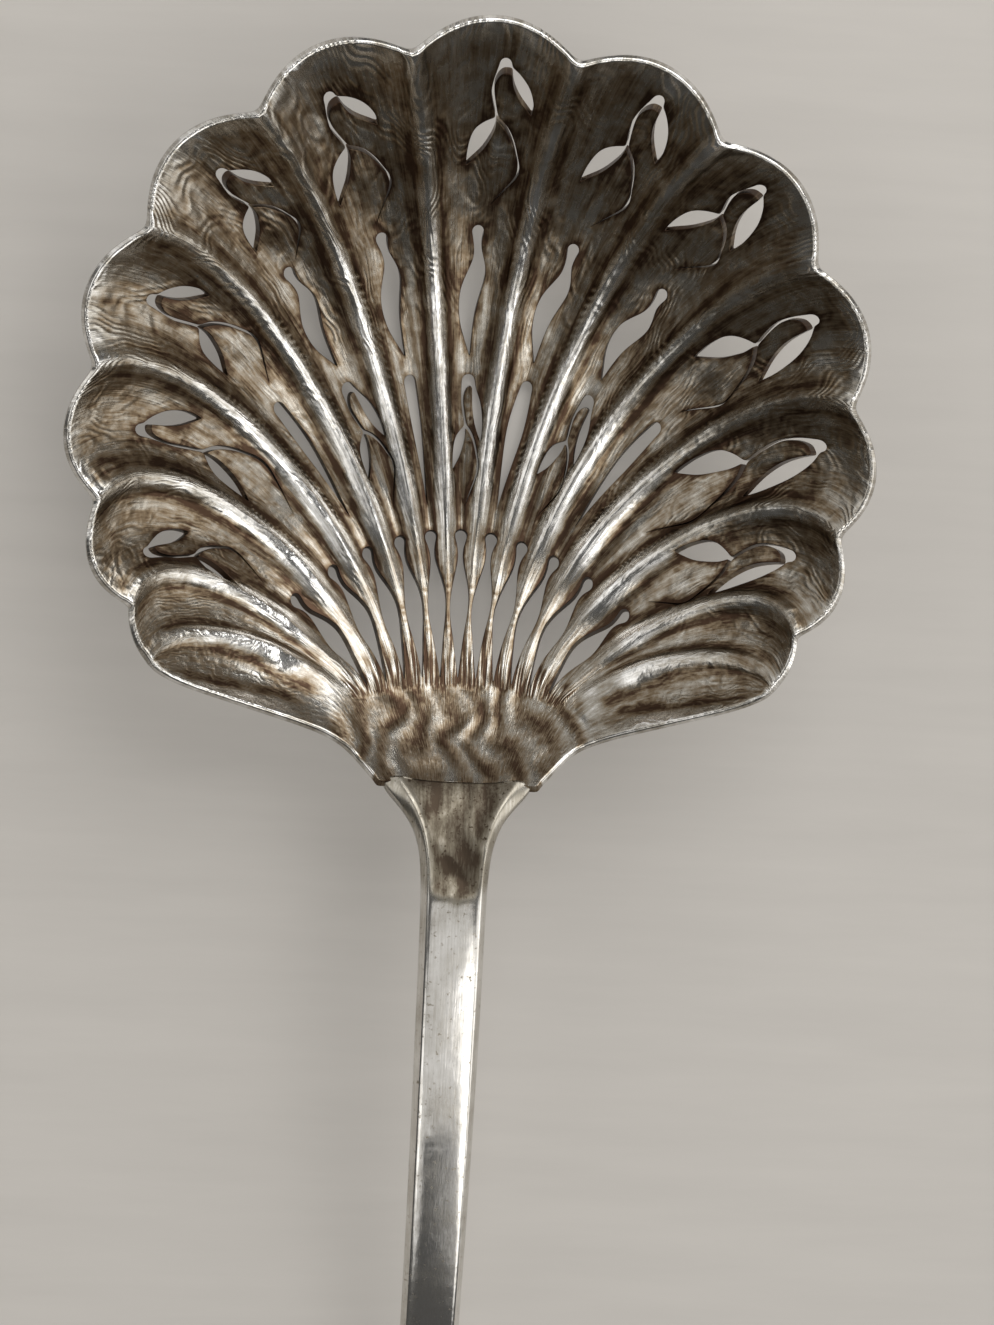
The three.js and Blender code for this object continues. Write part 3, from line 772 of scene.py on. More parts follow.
@dataclass(frozen=True)
class MeshBuilder:
    """Puts arrays into a mesh object that rides on the spoon's body in place of a solid."""

    name: str
    node: str
    slot: str

    def build(self, points: Array, faces: Array, normals: Array | None = None) -> bpy.types.Object:
        """Makes the mesh object.

        Args:
            points: Vertices in metres, shape (n, 3).
            faces: Triangles or quads, one row each.
            normals: Unit normals of the vertices, or None for the mesh's own.

        Returns:
            The object, riding on the body in place of its solid.
        """
        mesh = bpy.data.meshes.new(self.name)
        mesh.vertices.add(len(points))
        mesh.vertices.foreach_set("co", points.astype(np.float32).ravel())
        sides = faces.shape[1]
        mesh.loops.add(faces.size)
        mesh.loops.foreach_set("vertex_index", faces.astype(np.int32).ravel())
        mesh.polygons.add(len(faces))
        mesh.polygons.foreach_set("loop_start", np.arange(0, faces.size, sides, dtype=np.int32))
        mesh.polygons.foreach_set("use_smooth", np.ones(len(faces), dtype=bool))
        mesh.update(calc_edges=True)
        mesh.validate()
        if normals is not None:
            mesh.normals_split_custom_set_from_vertices(normals.astype(np.float32))
        piece = bpy.data.objects.new(self.name, mesh)
        bpy.context.collection.objects.link(piece)
        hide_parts(self.node)
        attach(piece, BODY)
        log.info("%s: %d vertices, %d faces", self.name, len(points), len(faces))
        return piece

    @staticmethod
    def paint(piece: bpy.types.Object, values: dict[str, Array]) -> None:
        """Stores one float per vertex under each name.

        Args:
            piece: The object.
            values: One array of values per name.
        """
        for name, value in values.items():
            layer = piece.data.attributes.new(name, "FLOAT", "POINT")
            layer.data.foreach_set("value", value.astype(np.float32))

    @staticmethod
    def unwrap(piece: bpy.types.Object, name: str, pairs: Array) -> None:
        """Stores a pair per vertex as the UV map of that name.

        Args:
            piece: The object.
            name: Name of the map.
            pairs: One pair per vertex, shape (n, 2).
        """
        mesh = piece.data
        corner = np.empty(len(mesh.loops), dtype=np.int32)
        mesh.loops.foreach_get("vertex_index", corner)
        layer = mesh.uv_layers.new(name=name)
        layer.uv.foreach_set("vector", pairs[corner].astype(np.float32).ravel())


@dataclass
class Skin:
    """Points, normals, places on the bowl and triangles that are gathered for one mesh."""

    points: list[Array] = field(default_factory=list)
    ways: list[Array] = field(default_factory=list)
    places: list[Array] = field(default_factory=list)
    faces: list[Array] = field(default_factory=list)
    size: int = 0

    def add(self, points: Array, ways: Array, place: tuple[Array, Array]) -> Array:
        """Takes points with their normals and their flutes and shares in.

        Args:
            points: The points, shape (n, 3).
            ways: Their unit normals.
            place: Their flutes and shares.

        Returns:
            The numbers that the points have in the mesh.
        """
        self.points.append(points)
        self.ways.append(ways)
        self.places.append(np.column_stack(place))
        self.size += len(points)
        return np.arange(self.size - len(points), self.size)

    def band(self, ring: Array, under: Array) -> None:
        """Puts triangles between a closed ring and the one under it."""
        after, below = np.roll(ring, -1), np.roll(under, -1)
        self.faces += [np.column_stack([ring, under, below]), np.column_stack([ring, below, after])]


@dataclass(frozen=True)
class BowlWear:
    """How the bowl is rubbed and tarnished, with painted shade in its creases and beside its cuts, in
    amounts of polish.

    Spans and bells run over the shares of the flutes' lines. Only those of the sides of a crest run over
    half widths of its bead, and the one of the shaded side of the bowl over flutes.
    """

    hollow: float = 0.42
    base_loss: float = 0.02
    base: Span = Span(0.05, 0.25)
    wall_loss: float = 0.14
    wall: Span = Span(0.4, 0.75)
    bar_gain: float = 0.06
    bars: Bell = Bell(0.1, 0.07)
    crest_gain: float = 0.42
    crest_side: Span = Span(0.55, 1.05)
    crest_start: Span = Span(0.2, 0.36)
    outer_loss: float = 0.28
    outer: Span = Span(0.68, 0.95)
    shade_loss: float = 0.45
    shade_flutes: Span = Span(1.0, 3.5)
    shade_start: Span = Span(0.3, 0.6)
    # Darker creases beside the beads: partly tarnish, partly painted shade.
    crease_tarnish_and_shade: float = 0.46
    crease_side: Bell = Bell(1.2, 0.35)
    crease_start: Span = Span(0.1, 0.3)
    crease_outer_fade: float = 0.7
    rim_gain: float = 0.25
    rim: Span = Span(0.965, 0.99)
    heel_loss: float = 0.2
    heel: Span = Span(-0.02, 0.06)
    root_loss: float = 0.2
    roots: Bell = Bell(0.03, 0.05)
    bands_end: Span = Span(-0.02, 0.1)
    edge: float = 0.66
    # Darkening of the inner face along the saw cuts: painted shade with some tarnish.
    cut_edge_tarnish_and_shade: float = 0.24

    def polish(self, form: BowlForm, flute: Array, share: Array) -> Array:
        """How bright the silver is: high on crests, rim, bars and heel, low in the outer hollows, with
        painted shade in the creases beside the beads.

        Args:
            form: The sheet.
            flute: Places across the bowl, counted in flutes.
            share: Shares of the flutes' lines.

        Returns:
            Polish between 0 and 1.
        """
        away = form.from_bead(flute, share)[1]
        outer = self.outer.rise(share)
        crest = (1 - self.crest_side.rise(away)) * self.crest_start.rise(share)
        crease = self.crease_side.at(away) * self.crease_start.rise(share)
        shaded = 1 - self.shade_loss * self.shade_flutes.rise(flute) * self.shade_start.rise(share)
        worn = self.hollow - self.base_loss * self.base.rise(share) - self.wall_loss * self.wall.rise(share)
        worn = worn + self.bar_gain * self.bars.at(share) + self.rim_gain * self.rim.rise(share)
        worn = worn + (self.crest_gain - self.outer_loss * outer) * shaded * crest
        # Painted shade, with some tarnish, in the creases beside the beads.
        worn = worn - self.crease_tarnish_and_shade * crease * (1 - self.crease_outer_fade * outer)
        worn = worn - self.heel_loss * (1 - self.heel.rise(share))
        return np.clip(worn - self.root_loss * self.chased(form, flute, share), 0.0, 1.0)

    def chased(self, form: BowlForm, flute: Array, share: Array) -> Array:
        """1 where the flutes begin, between the ears, and 0 elsewhere."""
        return self.roots.at(share) * (np.abs(flute) < form.flute_edge + 0.5)


@dataclass
class ShellBowl:
    """The pierced bowl: two faces of the fluted sheet, joined round every cut and along the free edge."""

    form: BowlForm = field(default_factory=BowlForm)
    plan: PiercingPlan = field(default_factory=PiercingPlan)
    wear: BowlWear = BowlWear()
    dome_height: float = 0.3
    rim_trim: float = 0.003
    cut_ease: float = 0.06
    cut_spacing: float = 0.22
    edge_ease: float = 0.3
    seam_ease: float = 0.03
    seam_end: Span = Span(-1.0, -0.9)
    edge_spacing: float = 0.3
    columns: int = 18
    heel_rows: int = 14
    bowl_rows: int = 74
    clear: float = 0.2
    arris: tuple[tuple[float, float], ...] = ((0.62, 0.22), (1.0, 1.0))
    map_length: float = 6.0
    spread_unit: float = 10.0

    def cuts(self) -> list[Ribbon]:
        """Saw cuts of all piercings, evenly spaced.

        Returns:
            One path per piercing.
        """
        outlines = (piercing.outline(self.form) for piercing in self.plan.all(self.form))
        made = [Ribbon(flute, share, self.cut_ease, self.cut_spacing) for flute, share in outlines]
        for ribbon in made:
            ribbon.even(self.form)
        return made

    def free_edge(self, steps: int = 600) -> Ribbon:
        """The free edge: along the seam, up the right ear, round the rim and down the left ear.

        Args:
            steps: Points along each of its four sides, before they are spaced.

        Returns:
            The path.
        """
        side, run = np.full(steps, self.form.edge), np.linspace(-1, 1, steps, endpoint=False)
        flute = np.concatenate([run * self.form.edge, side, -run * self.form.edge, -side])
        share = np.concatenate([-np.ones(steps), run, np.ones(steps), -run])
        ribbon = Ribbon(flute, np.minimum(share, 1 - self.rim_trim), self.edge_ease, self.edge_spacing)
        ribbon.even(self.form)
        ribbon.flute = np.clip(ribbon.flute, -self.form.edge, self.form.edge)
        away = self.seam_end.rise(ribbon.share)
        ribbon.ease = self.seam_ease + (self.edge_ease - self.seam_ease) * away
        return ribbon

    def grid(self) -> tuple[Array, Array]:
        """Places between the cuts: columns crowded towards the crests, rows from the seam to the rim.

        Across a flute the spacing is the mean of an even one and of a quarter sine to each side.

        Returns:
            Flutes and shares of the places.
        """
        step = np.linspace(-1, 1, self.columns, endpoint=False)
        across = (step + np.sin(np.pi * step / 2)) / 4
        fields = np.arange(-self.form.side_flutes - 2, self.form.side_flutes + 3)
        flute = (fields[:, None] + across[None, :]).ravel()
        heel = np.linspace(-1, 0, self.heel_rows, endpoint=False)
        share = np.concatenate([heel, np.linspace(0, 1 - self.rim_trim, self.bowl_rows)])
        pair = np.meshgrid(flute, share, indexing="ij")
        return pair[0].ravel(), pair[1].ravel()

    def spare(self, flat: Array, paths: list[Array]) -> Array:
        """True for grid points that lie within the first path and keep clear of all paths.

        Args:
            flat: Grid points in plan.
            paths: Points of each path in plan.

        Returns:
            One truth value per grid point.
        """
        keep = self.within(flat, paths[0])
        for path in paths:
            box = (flat > path.min(0) - self.clear) & (flat < path.max(0) + self.clear)
            near = np.flatnonzero(keep & box.all(axis=1))
            if not near.size:
                continue
            far = np.linalg.norm(flat[near, None, :] - path[None, :, :], axis=2).min(axis=1)
            keep[near[far < self.clear]] = False
        return keep

    def triangles(self, flat: Array, sizes: list[int]) -> Array:
        """Triangles between the paths: a constrained Delaunay net, less what lies in the cuts.

        Args:
            flat: Plan of all points, the paths first.
            sizes: Number of points of each path.

        Returns:
            Triangles that turn to the left seen from above.
        """
        starts = np.cumsum([0] + sizes[:-1])
        loops = [np.arange(size) + start for start, size in zip(starts, sizes)]
        pairs = np.concatenate([np.column_stack([loop, np.roll(loop, -1)]) for loop in loops])
        inside_only, touching = 1, 1e-7
        net = delaunay_2d_cdt(flat.tolist(), pairs.tolist(), [], inside_only, touching)
        if len(net[0]) != len(flat):
            log.warning("saw cuts cross: %d points became %d", len(flat), len(net[0]))
        made = np.array(net[2], dtype=np.int64)
        middle = flat[made].mean(axis=1)
        keep = np.ones(len(made), dtype=bool)
        for loop in loops[1:]:
            keep &= ~self.within(middle, flat[loop])
        return made[keep]

    @staticmethod
    def within(points: Array, ring: Array) -> Array:
        """True for points inside a closed ring, by the number of times that a line to the right crosses it.

        Args:
            points: Points in plan.
            ring: The ring's points in plan.

        Returns:
            One truth value per point.
        """
        inside = np.zeros(len(points), dtype=bool)
        near = np.flatnonzero(np.all((points > ring.min(0)) & (points < ring.max(0)), axis=1))
        start, end = ring, np.roll(ring, -1, axis=0)
        x, y = points[near, :1], points[near, 1:]
        spans = (start[:, 1] > y) != (end[:, 1] > y)
        rise = end[:, 1] - start[:, 1]
        slope = (end[:, 0] - start[:, 0]) / np.where(rise == 0, 1e-12, rise)
        crossed = spans & (x < start[:, 0] + (y - start[:, 1]) * slope)
        inside[near] = crossed.sum(axis=1) % 2 == 1
        return inside

    def build(self) -> bpy.types.Object:
        """Makes the bowl's mesh with its normals, its map along the flutes and its wear.

        Returns:
            The object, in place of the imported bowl.
        """
        piercings = self.plan.all(self.form)
        domes = [dome for one in piercings for dome in one.domes(self.form, self.dome_height)]
        form = self.form = replace(self.form, domes=tuple(domes))
        ribbons = [self.free_edge()] + self.cuts()
        everywhere = np.concatenate([ribbon.ways(form)[0] for ribbon in ribbons])
        inset = [ribbon.inset(form, everywhere) for ribbon in ribbons]
        paths = [form.surface(*pair, 0.0)[:, :2] for pair in inset]
        grid = self.grid()
        keep = self.spare(form.surface(*grid, 0.0)[:, :2], paths)
        place = tuple(np.concatenate([pair[i] for pair in inset] + [grid[i][keep]]) for i in range(2))
        triangles = self.triangles(form.surface(*place, 0.0)[:, :2], [len(path) for path in paths])
        skin = Skin()
        for side in Face:
            skin.add(*self.face(*place, side), place)
        skin.faces += [triangles, triangles[:, ::-1] + len(place[0])]
        first = 0
        for ribbon, path in zip(ribbons, inset):
            self.wall(skin, ribbon, path, first)
            first += len(path[0])
        solid = np.concatenate(skin.points)
        solid[:, 2] = np.maximum(solid[:, 2], PLACING.rest)
        maker = MeshBuilder("shell_bowl", "pierced_bowl", "bowl_silver")
        piece = maker.build(PLACING.place(solid), np.concatenate(skin.faces), np.concatenate(skin.ways))
        flute, share = np.concatenate(skin.places).T
        maker.unwrap(piece, "flutes", np.column_stack([flute, share * self.map_length]))
        maker.paint(piece, self.marks(flute, share, 2 * len(place[0]), len(paths[0]), first))
        return piece

    def face(self, flute: Array, share: Array, side: Face) -> tuple[Array, Array]:
        """Points of one face of the sheet and its unit normals, across the tangents of the surface.

        Args:
            flute: Places across the bowl, counted in flutes.
            share: Shares of the flutes' lines.
            side: Which face.

        Returns:
            Points and normals, each (n, 3).
        """
        offset = side.value * self.form.sheet / 2
        across, along = self.form.tangents(flute, share, offset)
        return self.form.surface(flute, share, offset), unit(np.cross(across, along)) * side.value

    def wall(self, skin: Skin, ribbon: Ribbon, path: tuple[Array, Array], first: int) -> None:
        """The wall of a cut: from the inner face over an eased arris, down, and over the other arris.

        Each ring mixes the path on the faces with the one on the wall and sinks by a share of the ease;
        its normals turn on a quarter circle from the face's to the wall's.

        Args:
            skin: The two faces, to which the wall is added.
            ribbon: The path on the wall.
            path: Flutes and shares of the path on the faces.
            first: Number of the first point of that path.
        """
        flute, share = path
        half, numbers = self.form.sheet / 2, np.arange(first, first + len(flute))
        ease = np.minimum(ribbon.ease, half)
        outward = -ribbon.ways(self.form)[1]
        steps = [(*step, Face.INNER) for step in self.arris]
        steps += [(*step, Face.OUTER) for step in reversed(self.arris)]
        rings = [numbers]
        for mix, drop, side in steps:
            place = (flute + (ribbon.flute - flute) * mix, share + (ribbon.share - share) * mix)
            points = self.form.surface(*place, side.value * (half - ease * drop))
            face = skin.ways[0 if side is Face.INNER else 1][numbers]
            way = unit(outward * np.sqrt(1 - (1 - drop) ** 2) + face * (1 - drop))
            rings.append(skin.add(points, way, place))
        rings.append(numbers + len(skin.points[0]))
        for ring, under in zip(rings, rings[1:]):
            skin.band(ring, under)

    def marks(self, flute: Array, share: Array, faces: int, edge: int, paths: int) -> dict[str, Array]:
        """Values of the mesh's points that the material reads.

        Args:
            flute: Flutes of all points.
            share: Shares of all points.
            faces: Number of points on the two faces, which come first.
            edge: Number of points of the free edge, the first path.
            paths: Number of points of all paths on a face.

        Returns:
            One value per point under each name.
        """
        wall = np.arange(len(share)) - faces
        on_edge = (wall < 2 * len(self.arris) * edge) & (share > self.seam_end.high)
        rim = (wall >= 0) & on_edge
        # The inner face along the saw cuts is darkened: painted shade with some tarnish.
        beside = np.zeros(len(share))
        beside[edge:paths] = self.wear.cut_edge_tarnish_and_shade
        return {
            "polish": np.where(rim, self.wear.edge, self.wear.polish(self.form, flute, share) - beside),
            "cut": ((wall >= 0) & ~rim).astype(float),
            "spread": self.form.width(flute, share) / self.spread_unit,
            "heel": 1 - self.wear.bands_end.rise(share),
            "chased": self.wear.chased(self.form, flute, share),
        }

    def dress(self, piece: bpy.types.Object) -> None:
        """Gives the bowl its silver."""
        BOWL_SILVER.cover(piece)


@dataclass(frozen=True)
class StemWear:
    """How the stem is rubbed and tarnished, in amounts of polish.

    The end of the tarnished neck is measured in millimetres from the end of its hollow, the lip in half
    widths, and the smudge in millimetres from the stem's line and from the seam.
    """

    top: float = 0.84
    neck_loss: float = 0.7
    neck_end: Span = Span(-0.7, 0.8)
    neck_curve: float = 0.15
    lip_clean: float = 0.65
    lip: Span = Span(0.55, 0.85)
    smudge_loss: float = 0.2
    smudge_across: Bell = Bell(-0.4, 1.1)
    smudge_along: Bell = Bell(7.0, 0.7)

    def neck(self, across: Array, past: Array, side: Array) -> Array:
        """1 in the hollow of the neck, less on its lips and 0 beyond its end.

        Args:
            across: Distances from the stem's line.
            past: Distances past the end of the hollow.
            side: Distances from the stem's line in half widths.

        Returns:
            Share of the tarnish.
        """
        neck = 1 - self.neck_end.rise(past + self.neck_curve * across**2)
        return neck * (1 - self.lip_clean * self.lip.rise(side))

    def polish(self, across: Array, behind: Array, neck: Array) -> Array:
        """How bright the silver is: high, less in the neck and less in a smudge across it."""
        smudge = self.smudge_across.at(across) * self.smudge_along.at(behind)
        return self.top - self.neck_loss * neck - self.smudge_loss * smudge


@dataclass
class Stem:
    """Neck, stem, end and the drop under the heel."""

    form: BowlForm = field(default_factory=BowlForm)
    wear: StemWear = StemWear()
    length: float = 130.0
    half: float = 3.0
    waist_half: float = 2.75
    end_half: float = 7.3
    flare_length: float = 3.0
    flare_power: float = 1.3
    waist_share: float = 0.46
    spread_share: float = 0.52
    end_round: float = 13.0
    neck_thickness: float = 3.3
    end_thickness: float = 1.9
    neck_rise: float = 3.985
    arch_at: float = 19.0
    end_flat: float = 13.0
    scoop_depth: float = 0.75
    scoop_length: float = 10.2
    scoop_end: float = 2.2
    wing: float = 0.45
    neck_bend: float = 0.77
    stem_bend: float = 0.42
    tip_share: float = 0.07
    fit_gap: float = 0.2
    seam_gap: float = 0.03
    seam_share: float = 0.95
    solder: float = 0.22
    drop_reach: float = 6.4
    drop_overlap: float = 1.0
    drop_thickness: float = 1.8
    drop_share: float = 0.86
    drop_blunt: float = 0.6
    drop_round: float = 0.7
    line_steps: int = 400
    line_near: float = 0.2
    stations: int = 300
    crowding: float = 0.6
    least_half: float = 0.1
    tongue_steps: int = 40
    cuts: int = 3

    @property
    def seam_half(self) -> float:
        """Half width of the seam."""
        return self.form.seam_row.step * self.form.edge

    def round_share(self, share: Array) -> Array:
        """Share of its width that a rounded end has: a quarter of an ellipse that keeps a small tip."""
        return np.sqrt(np.maximum(1 - share**2, self.tip_share**2))

    def half_width(self, distance: Array) -> Array:
        """Half width: a flare that dies away from the seam, a slow taper, a spread and the rounded end.

        Args:
            distance: Distances from the seam.

        Returns:
            One half width per distance.
        """
        start = self.length - self.end_round
        dying = np.exp(-((distance / self.flare_length) ** self.flare_power))
        flare = (self.seam_half * self.seam_share - self.half) * dying
        waist, wide = self.waist_share * self.length, self.spread_share * self.length
        taper = self.half + (self.waist_half - self.half) * smooth(distance, 0, waist)
        spread = (self.end_half - self.waist_half) * smooth(distance, wide, start)
        past = np.maximum(distance - start, 0) / self.end_round
        return (flare + taper + spread) * self.round_share(past)

    def line(self) -> tuple[Array, Array]:
        """Points and tangents of the stem's line in side view, crowded towards both ends.

        Two Bezier bends, from the seam over the arch and from the arch to the table, and a straight end,
        sampled finely and spaced by arc length.

        Returns:
            Points (y, z) and unit tangents, one row per station.
        """
        first = self.form.surface(np.zeros(1), -np.ones(1), self.form.sheet / 2)[0]
        slope = self.form.slope(-first[1])
        seam = first[1:] + np.array([-1.0, slope]) / np.hypot(1.0, slope) * self.seam_gap
        top = seam + [-self.arch_at, self.neck_rise]
        low = PLACING.rest + self.end_thickness - self.scoop_depth
        flat = np.array([seam[0] - self.length + self.end_flat, low])
        rise = seam + np.array([-1 / slope, 1.0]) * self.neck_bend * self.neck_rise
        reach = np.array([self.stem_bend * (flat[0] - top[0]), 0.0])
        share = bernstein(np.linspace(0, 1, self.line_steps))
        neck = share @ np.array([seam, rise, top + [self.arch_at / 2, 0.0], top])
        bend = share @ np.array([top, top + reach, flat - reach, flat])
        path = np.concatenate([neck, bend[1:], [[seam[0] - self.length, low]]])
        run = run_along(path)
        even = np.linspace(0, 1, self.stations + 1)
        place = (even + (smooth(even, 0, 1) - even) * self.crowding) * run[-1]

        def sample(at: Array) -> Array:
            """Points of the path at lengths along it."""
            return np.column_stack([np.interp(at, run, path[:, i]) for i in range(2)])

        return sample(place), unit(sample(place + self.line_near) - sample(place - self.line_near))

    def sections(self, half: Array, thickness: Array, lip: Array) -> tuple[Array, Array]:
        """Cross-sections of the stem: a flat top between bevelled shoulders, and a rounded back.

        The corners of a polygon are cut a few times.

        Args:
            half: Half width at each station.
            thickness: Thickness at each station.
            lip: Height of the lips beside the hollow of the neck.

        Returns:
            Across and height of each point, one row per station.
        """
        widened = np.maximum(half - self.half, 0) / (self.seam_half - self.half)
        side = thickness * np.where(lip > 0, 1 + (self.wing - 1) * widened, 1.0)
        deep = (thickness + side) / 2
        zero = np.zeros_like(half)
        corners = [
            (0.0, zero),
            (0.4, 0.12 * lip - 0.005 * side),
            (0.62, 0.5 * lip - 0.018 * side),
            (0.76, lip - 0.04 * side),
            (0.84, lip - 0.09 * side),
            (0.985, lip - 0.34 * side),
            (1.0, lip - 0.46 * side),
            (0.97, -0.74 * side),
            (0.88, -0.9 * deep),
            (0.66, -1.0 * deep),
            (0.3, -thickness),
        ]
        right_x = np.stack([np.full_like(half, x) for x, _ in corners], axis=1)
        right_z = np.stack([z for _, z in corners], axis=1)
        x = np.concatenate([right_x, -right_x[:, :0:-1]], axis=1) * half[:, None]
        z = np.concatenate([right_z, right_z[:, :0:-1]], axis=1)
        for _ in range(self.cuts):
            x, z = self.cut_corners(x), self.cut_corners(z)
        return x, z

    @staticmethod
    def cut_corners(ring: Array) -> Array:
        """Each closed row with its edges' quarter and three quarter points in place of its corners.

        Args:
            ring: One closed row per station.

        Returns:
            Rows of twice as many points.
        """
        after = np.roll(ring, -1, axis=1)
        pair = [0.75 * ring + 0.25 * after, 0.25 * ring + 0.75 * after]
        return np.stack(pair, axis=2).reshape(len(ring), -1)

    def bar(self) -> tuple[Array, Array]:
        """Neck, stem and end: the section carried along the line, closed by a fan at each end.

        Returns:
            Points in millimetres and triangles.
        """
        at, tangent = self.line()
        distance = at[0, 0] - at[:, 0]
        thinned = smooth(distance, 0, self.length - self.end_flat)
        thickness = self.neck_thickness + (self.end_thickness - self.neck_thickness) * thinned
        filled = self.scoop_depth * smooth(distance, self.scoop_length - self.scoop_end, self.scoop_length)
        x, z = self.sections(self.half_width(distance), thickness, self.scoop_depth - filled)
        z = z + filled[:, None]
        return loft(np.stack([x, at[:, :1] + z * tangent[:, 1:], at[:, 1:] - z * tangent[:, :1]], axis=2))

    def drop(self) -> tuple[Array, Array]:
        """The drop under the heel: a tongue with an elliptic end and an elliptic section.

        Its upper face follows the underside of the bowl at the solder's distance, and its lower face is an
        ellipse deeper.

        Returns:
            Points in millimetres and triangles.
        """
        form, steps = self.form, self.tongue_steps
        top = form.sheet / 2 + 2 * self.fit_gap + self.solder
        turn = np.linspace(0, 2 * np.pi, 2 * steps, endpoint=False)[None, :]
        share = np.sin(np.linspace(0, 1, steps + 1) * np.pi / 2)[:, None]
        y = form.seam_row.y - self.drop_overlap + (self.drop_reach + self.drop_overlap) * share
        narrow = self.round_share(np.maximum((y - form.seam_row.y) / self.drop_reach, 0))
        blunt = np.sign(np.cos(turn)) * np.abs(np.cos(turn)) ** self.drop_blunt
        x = self.seam_half * self.drop_share * narrow * blunt
        deep = self.drop_thickness * narrow * np.maximum(-np.sin(turn), 0) ** self.drop_round
        reach = np.hypot(x, y)
        z = form.height(reach) - (top + deep) * np.hypot(1.0, form.slope(reach))
        return loft(np.stack(np.broadcast_arrays(x, y, z), axis=2), inside_out=True)

    def build(self) -> bpy.types.Object:
        """Makes the stem with its drop as one object.

        Returns:
            The object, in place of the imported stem.
        """
        bar, bar_faces = self.bar()
        drop, drop_faces = self.drop()
        solid = np.concatenate([bar, drop])
        solid[:, 2] = np.maximum(solid[:, 2], PLACING.rest)
        faces = np.concatenate([bar_faces, drop_faces + len(bar)])
        maker = MeshBuilder("stem_and_drop", "stem", "stem_silver")
        piece = maker.build(PLACING.place(solid), faces)
        across, behind = solid[:, 0], bar[0, 1] - solid[:, 1]
        half = np.maximum(self.half_width(np.maximum(behind, 0.0)), self.least_half)
        neck = self.wear.neck(across, behind - self.scoop_length, np.abs(across) / half)
        maker.paint(piece, {"polish": self.wear.polish(across, behind, neck), "neck": neck})
        return piece

    def dress(self, piece: bpy.types.Object) -> None:
        """Gives the stem its silver."""
        STEM_SILVER.cover(piece)


@dataclass(frozen=True)
class SolderSeam:
    """The solder between the bowl and the drop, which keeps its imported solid."""

    node: str = "solder_seam"

    def build(self) -> bpy.types.Object:
        """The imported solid."""
        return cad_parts[self.node]

    def dress(self, piece: bpy.types.Object) -> None:
        """Gives the solder its finish."""
        SOLDER.cover(piece)


@dataclass(frozen=True)
class Wire:
    """A value in a node tree, so that sums of values can be written as sums."""

    recipe: "Recipe"
    socket: bpy.types.NodeSocket

    def __add__(self, other: "Wire | float") -> "Wire":
        """The sum of two values."""
        return self.recipe.math("ADD", self, other)

    def __mul__(self, other: "Wire | float") -> "Wire":
        """The product of two values."""
        return self.recipe.math("MULTIPLY", self, other)

    def span(self, low: float, high: float, to_low: float, to_high: float, kind: str = "LINEAR") -> "Wire":
        """The value carried from one span to another and held at its ends."""
        inputs = {"Value": self, "From Min": low, "From Max": high, "To Min": to_low, "To Max": to_high}
        return self.recipe.wire("ShaderNodeMapRange", inputs, interpolation_type=kind)


class Recipe:
    """A node tree that is filled step by step."""

    def __init__(self, tree: bpy.types.NodeTree) -> None:
        """Starts from an empty tree."""
        self.tree = tree
        tree.nodes.clear()

    def add(self, kind: str, inputs: dict | None = None, **settings: object) -> bpy.types.Node:
        """Adds a node.

        Args:
            kind: Blender's name of the node.
            inputs: Values or wires by the name or number of the input.
            settings: Properties of the node.

        Returns:
            The node.
        """
        node = self.tree.nodes.new(kind)
        for name, value in settings.items():
            setattr(node, name, value)
        for name, value in (inputs or {}).items():
            if isinstance(value, Wire):
                self.tree.links.new(value.socket, node.inputs[name])
            else:
                node.inputs[name].default_value = value
        return node

    def wire(
        self, kind: str, inputs: dict | None = None, output: str | int = 0, **settings: object
    ) -> Wire:
        """Adds a node, as add does, and gives one of its outputs."""
        return Wire(self, self.add(kind, inputs, **settings).outputs[output])

    def math(self, operation: str, first: Wire | float, second: Wire | float = 0.0) -> Wire:
        """The result of one operation on one or two values."""
        return self.wire("ShaderNodeMath", {0: first, 1: second}, operation=operation)

    def dot(self, first: Wire, second: Colour) -> Wire:
        """The dot product of a vector and a fixed one."""
        return self.wire("ShaderNodeVectorMath", {0: first, 1: second}, "Value", operation="DOT_PRODUCT")

    def attribute(self, name: str) -> Wire:
        """A value that the mesh's points carry."""
        return self.wire("ShaderNodeAttribute", output="Fac", attribute_name=name)

    def ramp(self, value: Wire, places: tuple[float, ...], colours: tuple[Colour, ...]) -> Wire:
        """Colours at places along a value.

        Args:
            value: What the colours follow.
            places: Places between 0 and 1.
            colours: One colour per place.

        Returns:
            The colour.
        """
        node = self.add("ShaderNodeValToRGB", {"Fac": value})
        keys = node.color_ramp.elements
        while len(keys) < len(places):
            keys.new(0.5)
        for key, place, colour in zip(keys, places, colours):
            key.position = place
            key.color = (*colour, 1.0)
        return Wire(self, node.outputs["Color"])


def new_material(name: str) -> tuple[bpy.types.Material, Recipe]:
    """An empty node material and the recipe to fill it.

    Args:
        name: Name of the material.

    Returns:
        The material and its recipe.
    """
    material = bpy.data.materials.new(name)
    material.use_nodes = True
    return material, Recipe(material.node_tree)


@dataclass(frozen=True)
class Noise:
    """Noise over a coordinate: its scale along each axis, its octaves and their roughness.

    What it does to the wear is given by the span of the noise that matters and what the span becomes.
    """

    scale: Colour
    detail: float
    rough: float
    core: tuple[float, float] = (0.0, 1.0)
    wear: tuple[float, float] = (0.0, 1.0)

    def over(self, place: Wire) -> Wire:
        """The noise, between 0 and 1.

        Args:
            place: The coordinate.

        Returns:
            The value of the noise.
        """
        scaled = place.recipe.wire("ShaderNodeMapping", {"Vector": place, "Scale": self.scale})
        inputs = {"Vector": scaled, "Scale": 1.0, "Detail": self.detail, "Roughness": self.rough}
        return place.recipe.wire("ShaderNodeTexNoise", inputs, "Fac")

    def worn(self, noise: Wire) -> Wire:
        """What the noise does to the wear."""
        return noise.span(*self.core, *self.wear)


